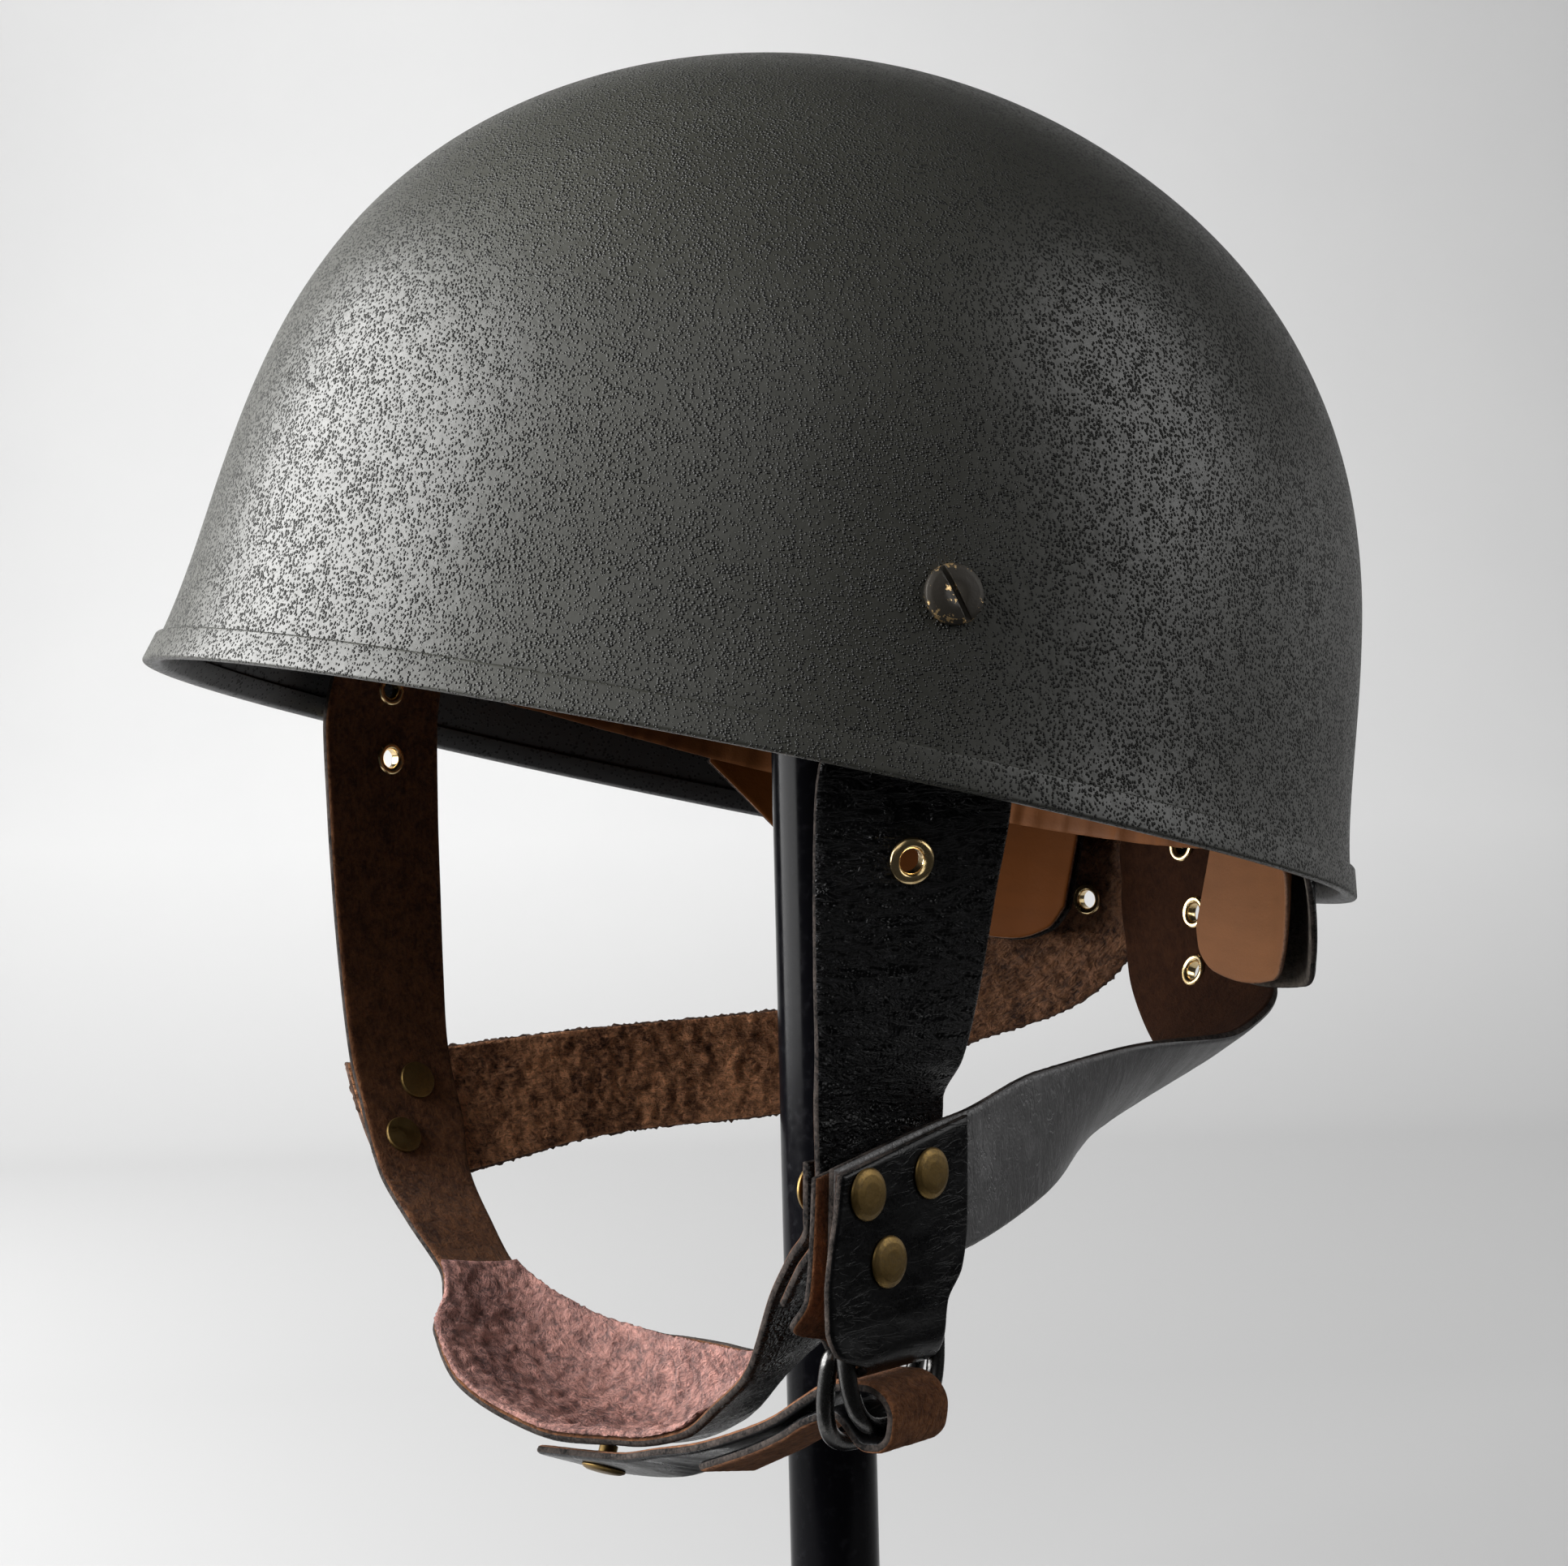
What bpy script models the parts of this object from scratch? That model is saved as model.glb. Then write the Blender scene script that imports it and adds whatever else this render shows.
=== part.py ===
"""Rimless steel paratrooper helmet with its leather harness, resting on a plain pole stand.

Metres, +Z up. The wearer faces -Y and the wearer's left is +X. The origin is the centre of the
stand base's underside. Lengths in the tables below are millimetres. The helmet leans back and
rolls a little on the pole, so its rigid pieces are drawn in a frame of their own (rim plane at
height 0, crown along +Z), and its straps in a hung frame: world axes, measured from the centre
of the rim.
"""
import math

import bpy
import bmesh
import numpy as np
from mathutils import Matrix, Vector

MM = 0.001

# Steel shell, in the helmet's own frame
BODY_HALF_LENGTH = 132.5
BODY_HALF_WIDTH = 118.7
SHELL_HEIGHT = 162.3
SHELL_WALL = 1.5
WALL_POWER = 1.118
RISE_POWER = 0.627
FLARE_OUT = 6.4
FLARE_HEIGHT = 19.8
CROWN_SHIFT = 1.6
SHELL_EDGE = 1.1
SHELL_RINGS = 11
SHELL_SIDES = 40

# How the helmet sits: leaning back and rolled to the wearer's left
RIM_CENTRE = (-4.0, -12.0, 245.0)
LEAN_BACK = math.radians(11.95)
ROLL_LEFT = math.radians(4.1)

# Rim band, a folded strip over the shell's edge
BAND_WALL = 0.8
BAND_OUTSIDE = 6.6
BAND_INSIDE = 5.6

# Harness
GAP = 0.3
LEATHER = 2.2
HOLDER_LEATHER = 2.0
LINING = 1.3
SCREW_HEIGHT = 35.0
SIDE_ANGLE = 71.0
REAR_ANGLE = 180.0

# Frame of the riveted stack on the wearer's left: outward, along the plate, up
STACK_ORIGIN = (104.0, -43.0)
STACK_TURN = math.radians(13.5)

# Stand
BASE_RADIUS = 100.0
BASE_THICK = 8.0
POLE_RADIUS = 10.0
HEAD_RADIUS = 24.0
HEAD_DOME = 60.0
HEAD_THICK = 12.0
HEAD_CLEAR = 0.8


def clear_scene():
    for thing in list(bpy.data.objects):
        bpy.data.objects.remove(thing, do_unlink=True)


def material(name, colour, roughness, metallic=0.0):
    paint = bpy.data.materials.new(name)
    paint.use_nodes = True
    shader = paint.node_tree.nodes["Principled BSDF"]
    shader.inputs["Base Color"].default_value = (*colour, 1.0)
    shader.inputs["Roughness"].default_value = roughness
    shader.inputs["Metallic"].default_value = metallic
    return paint


def helmet_matrix():
    """Helmet frame to hung frame."""
    return Matrix.Rotation(ROLL_LEFT, 3, "Y") @ Matrix.Rotation(-LEAN_BACK, 3, "X")


TILT = np.array(helmet_matrix())


def hung_from_helmet(points):
    return np.asarray(points, float) @ TILT.T


def world(points):
    return (np.asarray(points, float) + np.array(RIM_CENTRE)) * MM


def add_solid(name, points, faces, paint, smooth_angle=40.0):
    """One closed mesh object from points in the hung frame."""
    mesh = bpy.data.meshes.new(name)
    mesh.from_pydata([tuple(p) for p in world(points)], [], [tuple(f) for f in faces])
    shape = bmesh.new()
    shape.from_mesh(mesh)
    bmesh.ops.recalc_face_normals(shape, faces=shape.faces)
    shape.to_mesh(mesh)
    shape.free()
    mesh.shade_smooth()
    mesh.set_sharp_from_angle(angle=math.radians(smooth_angle))
    mesh.materials.append(paint)
    solid = bpy.data.objects.new(name, mesh)
    bpy.context.scene.collection.objects.link(solid)
    return solid


def axis_frame(direction, hint=(0.0, 0.0, 1.0)):
    """Three unit columns: two across the direction, then the direction."""
    up = Vector(direction).normalized()
    side = Vector(hint).cross(up)
    if side.length < 1e-4:
        side = Vector((1.0, 0.0, 0.0)).cross(up)
    side.normalize()
    return np.column_stack([side, up.cross(side), up])


def turned(profile, sides, centre, direction):
    """Points and faces of a profile of (radius, height) turned about an axis.

    A profile that starts and ends on the axis closes there, and any other is a closed loop.
    """
    frame = axis_frame(direction)
    capped = profile[0][0] == 0.0
    points, rings = [], []
    for radius, height in profile:
        count = 1 if radius == 0.0 else sides
        ring = []
        for k in range(count):
            turn = 2 * math.pi * k / sides
            local = (radius * math.cos(turn), radius * math.sin(turn), height)
            ring.append(len(points))
            points.append(np.array(centre) + frame @ np.array(local))
        rings.append(ring)
    faces = []
    pairs = list(zip(rings, rings[1:]))
    if not capped:
        pairs.append((rings[-1], rings[0]))
    for first, second in pairs:
        for k in range(sides):
            corner = [first[k % len(first)], first[(k + 1) % len(first)],
                      second[(k + 1) % len(second)], second[k % len(second)]]
            face = []
            for index in corner:
                if index not in face:
                    face.append(index)
            faces.append(face)
    return points, faces


def cut(target, name, shapes):
    """Cuts several turned shapes out of a solid with one Boolean."""
    points, faces = [], []
    for shape_points, shape_faces in shapes:
        faces += [[index + len(points) for index in face] for face in shape_faces]
        points += list(shape_points)
    cutter = add_solid(name, points, faces, target.data.materials[0])
    cutter.hide_render = True
    cutter.display_type = "WIRE"
    tool = target.modifiers.new(name, "BOOLEAN")
    tool.operation = "DIFFERENCE"
    tool.solver = "EXACT"
    tool.object = cutter


def bore(radius, centre, direction, depth):
    """A round cutter centred on a point."""
    return turned([(0.0, depth), (radius, depth), (radius, -depth), (0.0, -depth)],
                  10, centre, direction)


# Shell surface

def rim_factor(rise):
    """Size of the horizontal section, as a share of the body's, at a share of the height."""
    turn = np.arcsin(np.clip(rise, 0.0, 1.0) ** (1.0 / RISE_POWER))
    flare = FLARE_OUT / BODY_HALF_LENGTH * np.exp(-rise * SHELL_HEIGHT / FLARE_HEIGHT)
    return np.cos(turn) ** WALL_POWER + flare


def wall_point(angle, height, inset):
    """Point of the shell's wall, inset from its outside; angle 0 is the front, 90 the left."""
    rise = height / SHELL_HEIGHT
    factor = float(rim_factor(np.array(rise)))
    turn = math.radians(angle)
    across = (BODY_HALF_WIDTH * factor - inset) * math.sin(turn)
    along = -(BODY_HALF_LENGTH * factor - inset) * math.cos(turn) + CROWN_SHIFT * rise
    return np.array([across, along, height])


def wall_normal(angle, height):
    step = 0.5
    around = wall_point(angle + step, height, 0.0) - wall_point(angle - step, height, 0.0)
    upward = wall_point(angle, height + step, 0.0) - wall_point(angle, height - step, 0.0)
    normal = np.cross(around, upward)
    return normal / np.linalg.norm(normal)


def meridian(count):
    """Rises of rings spaced evenly along the wall, from the shell's edge to near the crown."""
    turns = np.linspace(0.0, math.pi / 2, 2000)
    rises = np.sin(turns) ** RISE_POWER
    radii = np.cos(turns) ** WALL_POWER * (BODY_HALF_LENGTH + BODY_HALF_WIDTH) / 2
    steps = np.hypot(np.diff(radii), np.diff(rises * SHELL_HEIGHT))
    lengths = np.concatenate([[0.0], np.cumsum(steps)])
    start = np.interp(SHELL_EDGE / SHELL_HEIGHT, rises, lengths)
    above_band = np.interp((BAND_OUTSIDE + 1.0) / SHELL_HEIGHT, rises, lengths)
    marks = np.linspace(above_band, lengths[-1], count)[:-1]
    return np.interp(np.concatenate([[start], marks]), lengths, rises)


def dome_rings(inset, rises):
    """Rings of a dome at a constant inset, and its crown point."""
    step = 1e-3
    rings = []
    for rise in rises:
        low, high = max(rise - step, 1e-6), min(rise + step, 1.0 - 1e-6)
        fall = (rim_factor(np.array(high)) - rim_factor(np.array(low))) / (high - low)
        slope = float(fall) * (BODY_HALF_LENGTH + BODY_HALF_WIDTH) / 2 / SHELL_HEIGHT
        level = math.hypot(1.0, slope)
        inward, down = inset / level, -inset * slope / level
        ring = []
        for k in range(SHELL_SIDES):
            angle = 360.0 * k / SHELL_SIDES
            point = wall_point(angle, rise * SHELL_HEIGHT, inward)
            ring.append(point - np.array([0.0, 0.0, down]))
        rings.append(ring)
    crown = np.array([0.0, CROWN_SHIFT, SHELL_HEIGHT - inset])
    return rings, crown


def build_shell(paint):
    rises = meridian(SHELL_RINGS)
    points, faces = [], []
    starts = []
    for inset in (0.0, SHELL_WALL):
        rings, crown = dome_rings(inset, rises)
        for k in range(SHELL_SIDES):
            rings[0][k][2] = SHELL_EDGE
        starts.append(len(points))
        for ring in rings:
            points += ring
        points.append(crown)
    outer, inner = starts
    for start, flip in ((outer, False), (inner, True)):
        for i in range(SHELL_RINGS):
            for k in range(SHELL_SIDES):
                here = start + i * SHELL_SIDES + k
                beside = start + i * SHELL_SIDES + (k + 1) % SHELL_SIDES
                if i == SHELL_RINGS - 1:
                    face = [here, beside, start + SHELL_RINGS * SHELL_SIDES]
                else:
                    face = [here, beside, beside + SHELL_SIDES, here + SHELL_SIDES]
                faces.append(face[::-1] if flip else face)
    for k in range(SHELL_SIDES):
        beside = (k + 1) % SHELL_SIDES
        faces.append([outer + k, inner + k, inner + beside, outer + beside])
    shell = add_solid("shell", hung_from_helmet(points), faces, paint)
    bores = [bore(SHANK_RADIUS + GAP, *hung_seat(angle), 8.0) for angle in SCREW_ANGLES]
    cut(shell, "shell_bores", bores)
    return shell


def build_rim_band(paint):
    inner = -SHELL_WALL - GAP - 0.1
    section = [(GAP, BAND_OUTSIDE), (GAP + BAND_WALL, BAND_OUTSIDE), (GAP + BAND_WALL, 0.5),
               (0.5, 0.0), (inner + 0.3, 0.0), (inner - BAND_WALL, 0.6),
               (inner - BAND_WALL, BAND_INSIDE), (inner, BAND_INSIDE),
               (inner, SHELL_EDGE - GAP), (GAP, SHELL_EDGE - GAP)]
    points, faces = [], []
    count = len(section)
    for k in range(SHELL_SIDES):
        angle = 360.0 * k / SHELL_SIDES
        points += [wall_point(angle, height, -offset) for offset, height in section]
    for k in range(SHELL_SIDES):
        for j in range(count):
            here, ahead = k * count, ((k + 1) % SHELL_SIDES) * count
            faces.append([here + j, here + (j + 1) % count, ahead + (j + 1) % count, ahead + j])
    return add_solid("rim_band", hung_from_helmet(points), faces, paint)


# Screws: a domed slotted head outside, a shank, and a round nut inside

SHANK_RADIUS = 2.5
SCREW_HEAD = 5.7
SCREW_DOME = 1.7
NUT_RADIUS = 4.5
SCREW_ANGLES = (SIDE_ANGLE, 360.0 - SIDE_ANGLE, REAR_ANGLE)


def screw_seat(angle):
    """Centre on the shell's outside and outward axis of one screw, in the helmet frame."""
    return wall_point(angle, SCREW_HEIGHT, 0.0), wall_normal(angle, SCREW_HEIGHT)


def hung_seat(angle):
    centre, axis = screw_seat(angle)
    return hung_from_helmet(centre), hung_from_helmet(axis)


def build_screw(name, angle, strap, paint):
    """The nut starts one gap inside the last strap that the screw holds, and ends at the sweatband."""
    centre, axis = hung_seat(angle)
    foot, across, _, low = strap.seat(centre - axis * STRAP_INSET, NUT_RADIUS)
    inner = GAP + strap.thickness / 2 + 0.35 - low * float(across @ axis) - float((foot - centre) @ axis)
    reach = SWEATBAND_INSET[angle] - GAP
    profile = [(0.0, GAP + SCREW_DOME), (2.6, GAP + SCREW_DOME - 0.2), (4.6, GAP + SCREW_DOME - 0.8),
               (SCREW_HEAD, GAP + 0.5), (SCREW_HEAD, GAP), (SHANK_RADIUS, GAP), (SHANK_RADIUS, -inner),
               (NUT_RADIUS, -inner), (NUT_RADIUS, -reach), (0.0, -reach)]
    points, faces = turned(profile, 14, centre, axis)
    screw = add_solid(name, points, faces, paint)
    slot = bpy.data.meshes.new(name + "_slot")
    shape = bmesh.new()
    bmesh.ops.create_cube(shape, size=1.0)
    bmesh.ops.scale(shape, vec=(1.1 * MM, 14.0 * MM, 2.0 * MM), verts=shape.verts)
    shape.to_mesh(slot)
    shape.free()
    cutter = bpy.data.objects.new(name + "_slot", slot)
    bpy.context.scene.collection.objects.link(cutter)
    frame = Matrix(axis_frame(axis).tolist()) @ Matrix.Rotation(math.radians(SLOT_TURN), 3, "Z")
    head_top = centre + axis * (GAP + SCREW_DOME + 0.1)
    cutter.matrix_world = Matrix.Translation(Vector(world(head_top))) @ frame.to_4x4()
    cutter.hide_render = True
    cutter.display_type = "WIRE"
    tool = screw.modifiers.new("slot", "BOOLEAN")
    tool.operation = "DIFFERENCE"
    tool.solver = "EXACT"
    tool.object = cutter
    return screw


SLOT_TURN = 25.0


def level_slopes(rows, knots):
    """Slopes at the rows that never let the smoothed sheet swing past a row."""
    rise = np.diff(rows, axis=0) / np.diff(knots)[:, None]
    before, after = rise[:-1], rise[1:]
    product = before * after
    total = np.where(product > 0.0, before + after, 1.0)
    middle = np.where(product > 0.0, 2.0 * product / total, 0.0)
    return np.concatenate([rise[:1], middle, rise[-1:]])


def refined(grid, times):
    """The same facets, sampled more finely."""
    for axis in (0, 1):
        count = grid.shape[axis]
        at = np.linspace(0.0, count - 1.0, (count - 1) * times + 1)
        low = np.clip(at.astype(int), 0, count - 2)
        part = (at - low).reshape([-1 if k == axis else 1 for k in range(3)])
        grid = np.take(grid, low, axis) * (1 - part) + np.take(grid, low + 1, axis) * part
    return grid


def tucked(points, inset):
    """Points in the hung frame, moved in where they come closer than an inset to the shell."""
    local = points @ TILT
    height = np.clip(local[..., 2], 0.0, SHELL_HEIGHT * 0.9)
    band = BAND_WALL + GAP + 0.75
    depth = inset + band * np.clip((BAND_INSIDE + 7.0 - height) / 6.0, 0.0, 1.0)
    factor = rim_factor(height / SHELL_HEIGHT)
    shift = CROWN_SHIFT * height / SHELL_HEIGHT
    reach = np.hypot(local[..., 0] / (BODY_HALF_WIDTH * factor - depth),
                     (local[..., 1] - shift) / (BODY_HALF_LENGTH * factor - depth))
    inside = np.minimum(1.0, 1.0 / np.maximum(reach, 1e-6))
    inside = 1.0 + (inside - 1.0) * np.clip((local[..., 2] + 14.0) / 10.0, 0.0, 1.0)
    local = local.copy()
    local[..., 0] *= inside
    local[..., 1] = (local[..., 1] - shift) * inside + shift
    return local @ TILT.T


# Leather strips: a grid of points between two edges, with a thickness

class Strip:
    """Smooth sheet between an edge A and an edge B, in the hung frame.

    Each row holds edge A, edge B and a bow: how far the middle stands out towards the grain side.
    A peak above 1 moves the bow's highest line towards edge B. A tuck keeps the sheet that far
    inside the shell's outer surface. Sections are even along the sheet, or else so many per row.
    """

    def __init__(self, rows, sections, cells, outward, thickness, peak=1.0, tuck=None, per_row=None):
        rows = np.array([np.concatenate([np.ravel(part) for part in row]) for row in rows], float)
        middle = (rows[:, 0:3] + rows[:, 3:6]) / 2
        knots = np.concatenate([[0.0], np.cumsum(np.linalg.norm(np.diff(middle, axis=0), axis=1))])
        slopes = level_slopes(rows, knots)
        at = np.linspace(0.0, knots[-1], sections)
        if per_row:
            at = np.interp(np.arange((len(knots) - 1) * per_row + 1) / per_row, np.arange(len(knots)), knots)
        k = np.clip(np.searchsorted(knots, at, side="right") - 1, 0, len(knots) - 2)
        span = (knots[k + 1] - knots[k])[:, None]
        s = (at[:, None] - knots[k][:, None]) / span
        smooth = ((2 * s**3 - 3 * s**2 + 1) * rows[k] + (s**3 - 2 * s**2 + s) * span * slopes[k]
                  + (3 * s**2 - 2 * s**3) * rows[k + 1] + (s**3 - s**2) * span * slopes[k + 1])
        share = np.linspace(0.0, 1.0, cells + 1)[None, :, None]
        edge_a, edge_b = smooth[:, None, 0:3], smooth[:, None, 3:6]
        flat = edge_a * (1 - share) + edge_b * share
        bulge = smooth[:, None, 6:7] * (1 - (2 * share ** peak - 1) ** 2)
        self.outward = outward
        self.thickness = thickness
        self.grid = flat
        self.grid = flat + self.normals() * bulge
        if tuck is not None:
            self.grid = tucked(self.grid, tuck)

    def normals(self):
        along = np.gradient(self.grid, axis=0)
        across = np.gradient(self.grid, axis=1)
        normal = np.cross(along, across) * self.outward
        return normal / np.linalg.norm(normal, axis=2, keepdims=True)

    def beside(self, point, offset):
        """Nearest point of the sheet's middle, moved along its grain-side normal."""
        away = np.linalg.norm(self.grid - np.array(point), axis=2)
        i, j = np.unravel_index(int(np.argmin(away)), away.shape)
        normal = self.normals()[i, j]
        slip = np.array(point) - self.grid[i, j]
        foot = self.grid[i, j] + slip - normal * float(slip @ normal)
        return foot + normal * offset, normal

    def seat(self, point, radius):
        """Foot, axis and the sheet's highest and lowest levels under a round part on it."""
        fine = refined(self.grid, 6).reshape(-1, 3)
        foot = fine[np.argmin(np.linalg.norm(fine - np.array(point), axis=1))]
        under = fine[np.linalg.norm(fine - foot, axis=1) < radius + 0.5]
        axis = np.linalg.svd(under - under.mean(axis=0))[2][2]
        if axis @ self.beside(foot, 0.0)[1] < 0.0:
            axis = -axis
        levels = (under - foot) @ axis
        return foot, axis, float(levels.max()), float(levels.min())

    def solid(self, name, paint):
        rows, columns = self.grid.shape[:2]
        half = self.normals() * self.thickness / 2
        points = np.concatenate([(self.grid + half).reshape(-1, 3), (self.grid - half).reshape(-1, 3)])
        back = rows * columns
        faces = []
        for i in range(rows - 1):
            for j in range(columns - 1):
                here = i * columns + j
                beyond = here + columns + 1
                for half_cell in ([here, here + 1, beyond], [here, beyond, here + columns]):
                    faces.append(half_cell)
                    faces.append([index + back for index in half_cell[::-1]])
        border = [(i, 0) for i in range(rows)] + [(rows - 1, j) for j in range(1, columns)]
        border += [(i, columns - 1) for i in range(rows - 2, -1, -1)]
        border += [(0, j) for j in range(columns - 2, 0, -1)]
        loop = [i * columns + j for i, j in border]
        for here, ahead in zip(loop, loop[1:] + loop[:1]):
            faces.append([here, ahead, ahead + back, here + back])
        return add_solid(name, points, faces, paint)


def stack_point(outward, along, up):
    """Point of the riveted stack's frame in the hung frame."""
    cosine, sine = math.cos(STACK_TURN), math.sin(STACK_TURN)
    return np.array([STACK_ORIGIN[0] + outward * cosine - along * sine,
                     STACK_ORIGIN[1] + outward * sine + along * cosine, up])


STACK_AXIS = np.array([math.cos(STACK_TURN), math.sin(STACK_TURN), 0.0])
PLATE_LEVEL = -HOLDER_LEATHER / 2
NAPE_LEVEL = -HOLDER_LEATHER - GAP - LEATHER / 2
BACK_LEVEL = -1.5 * HOLDER_LEATHER - 2 * GAP - LEATHER
SIDE_LEVEL = -2 * HOLDER_LEATHER - 3 * GAP - 1.5 * LEATHER
TAIL_OFFSET = LEATHER + GAP
TAIL_START = -98.5
TAIL_END = -63.0


def wall_row(angle, spread, height, inset, bow):
    """A strip's row against the shell's inside, its edges spread about an angle."""
    first = wall_point(angle - spread, height, inset)
    second = wall_point(angle + spread, height, inset)
    return hung_from_helmet(first), hung_from_helmet(second), bow


STRAP_INSET = SHELL_WALL + GAP + LEATHER / 2 + 0.3


def chin_strap_left():
    """Strap on the wearer's left: edge A is its front edge."""
    rows = [wall_row(SIDE_ANGLE, 6.0, 46.0, STRAP_INSET + 0.3, 0.8),
            wall_row(SIDE_ANGLE, 6.8, SCREW_HEIGHT, STRAP_INSET, 0.9),
            wall_row(SIDE_ANGLE, 7.2, 22.0, STRAP_INSET + 0.5, 0.9),
            ((103.0, -57.5, -1.5), (114.0, -21.4, -2.4), 0.3),
            ((102.5, -58.0, -18.3), (109.0, -21.7, -19.8), 0.3),
            ((101.5, -57.6, -33.0), (104.5, -21.9, -35.0), 0.3),
            ((100.0, -56.6, -47.9), (98.0, -21.7, -50.7), 0.2),
            (stack_point(SIDE_LEVEL, -11.5, -59.0), stack_point(SIDE_LEVEL, 24.5, -60.0), 0.0),
            (stack_point(SIDE_LEVEL, -11.5, -69.0), stack_point(SIDE_LEVEL, 23.0, -69.0), 0.0),
            (stack_point(SIDE_LEVEL, -12.0, -79.5), stack_point(SIDE_LEVEL, 20.5, -79.5), 0.0),
            ((86.8, -53.0, -89.5), (81.5, -30.5, -89.8), 0.0),
            ((80.0, -52.0, -96.8), (75.0, -34.0, -97.5), 0.0)]
    return Strip(rows, 26, 2, 1, LEATHER, tuck=STRAP_INSET)


def chin_cup_strap(left):
    """Strap on the wearer's right, widening to the cup and ending inside the left strap."""
    rows = [wall_row(360.0 - SIDE_ANGLE, -6.0, 46.0, STRAP_INSET + 0.3, 0.8),
            wall_row(360.0 - SIDE_ANGLE, -6.8, SCREW_HEIGHT, STRAP_INSET, 0.9),
            ((-101.0, -59.8, 17.1), (-109.0, -25.7, 17.0), 0.6),
            ((-101.0, -59.3, -2.7), (-108.5, -26.3, -3.5), 0.3),
            ((-100.5, -58.7, -22.4), (-107.0, -26.9, -23.9), 0.2),
            ((-99.5, -57.8, -42.1), (-104.5, -27.9, -44.1), 0.0),
            ((-97.5, -56.7, -61.8), (-100.0, -29.1, -64.1), 0.0),
            ((-93.0, -55.7, -75.2), (-94.5, -28.9, -77.7), 0.0),
            ((-85.0, -55.8, -88.1), (-86.5, -31.2, -90.8), 0.0),
            ((-73.0, -54.9, -98.3), (-74.0, -32.6, -101.1), 0.0),
            ((-60.0, -53.3, -108.2), (-60.0, -33.2, -110.8), 0.5),
            ((-50.0, -57.3, -113.8), (-50.0, -32.3, -113.6), 3.0),
            ((-40.0, -64.8, -118.6), (-40.0, -30.4, -116.3), 6.0),
            ((-25.0, -67.6, -126.5), (-25.0, -26.4, -119.6), 8.5),
            ((-10.0, -63.9, -132.3), (-10.0, -24.9, -119.7), 12.0),
            ((5.0, -58.6, -135.0), (5.0, -25.8, -118.3), 14.5),
            ((20.0, -51.6, -134.3), (20.0, -27.1, -117.0), 12.0),
            ((37.5, -49.2, -130.0), (36.0, -28.5, -115.8), 7.0),
            ((54.0, -50.6, -120.9), (52.0, -28.5, -111.2), 2.5),
            ((66.5, -51.5, -112.2), (63.5, -28.5, -106.0), 0.5)]
    inside = left.grid - left.normals() * (TAIL_OFFSET + 0.4)
    for front, rear in zip(inside[::-1, 0], inside[::-1, -1]):
        if TAIL_START < front[2] < TAIL_END:
            rows.append((front, rear, 0.0))
    return Strip(rows, 42, 4, -1, LEATHER, peak=1.4, tuck=STRAP_INSET)


def cup_lining(cup):
    """Suede glued inside the cup, between two places along it."""
    inside = [i for i in range(len(cup.grid)) if CUP_START < cup.grid[i, 2, 0] < CUP_END
              and cup.grid[i, 2, 2] < -100.0]
    offset = LEATHER / 2 + GAP + 0.6 + LINING / 2
    lining = Strip.__new__(Strip)
    lining.outward, lining.thickness = cup.outward, LINING
    facing = cup.normals()[inside]
    lining.normals = lambda: facing
    lining.grid = cup.grid[inside] - facing * offset
    return lining


CUP_START = -60.0
CUP_END = 47.0


def nape_strap_left():
    """Hangs from the rear screw and turns forward to the riveted stack; edge A becomes its top."""
    inset = STRAP_INSET + LEATHER + GAP + 0.35
    rows = [wall_row(REAR_ANGLE, 8.0, 46.0, inset + 0.3, 0.9),
            wall_row(REAR_ANGLE, 9.0, SCREW_HEIGHT, inset, 1.0),
            ((23.5, 128.0, -10.0), (-23.0, 127.4, -10.0), 1.5),
            ((25.0, 126.6, -28.0), (-22.0, 126.2, -31.0), 1.5),
            ((31.5, 123.6, -43.0), (-19.5, 125.4, -50.0), 1.0),
            ((47.0, 111.0, -49.8), (-2.0, 116.5, -64.5), 0.8),
            ((60.0, 92.5, -53.8), (22.0, 96.0, -69.0), 0.8),
            ((69.5, 74.0, -55.7), (42.0, 72.5, -70.5), 1.0),
            ((79.0, 40.2, -54.6), (66.0, 35.0, -74.4), 2.0),
            ((90.0, 3.6, -56.4), (85.5, 7.0, -81.7), 1.0),
            (stack_point(NAPE_LEVEL, 25.0, -61.8), stack_point(NAPE_LEVEL, 25.0, -87.8), 0.0),
            (stack_point(NAPE_LEVEL, 16.0, -63.0), stack_point(NAPE_LEVEL, 16.0, -88.8), 0.0),
            (stack_point(NAPE_LEVEL, -13.0, -68.3), stack_point(NAPE_LEVEL, -14.5, -90.0), 0.0)]
    return Strip(rows, 30, 2, 1, LEATHER, tuck=inset)


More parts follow.
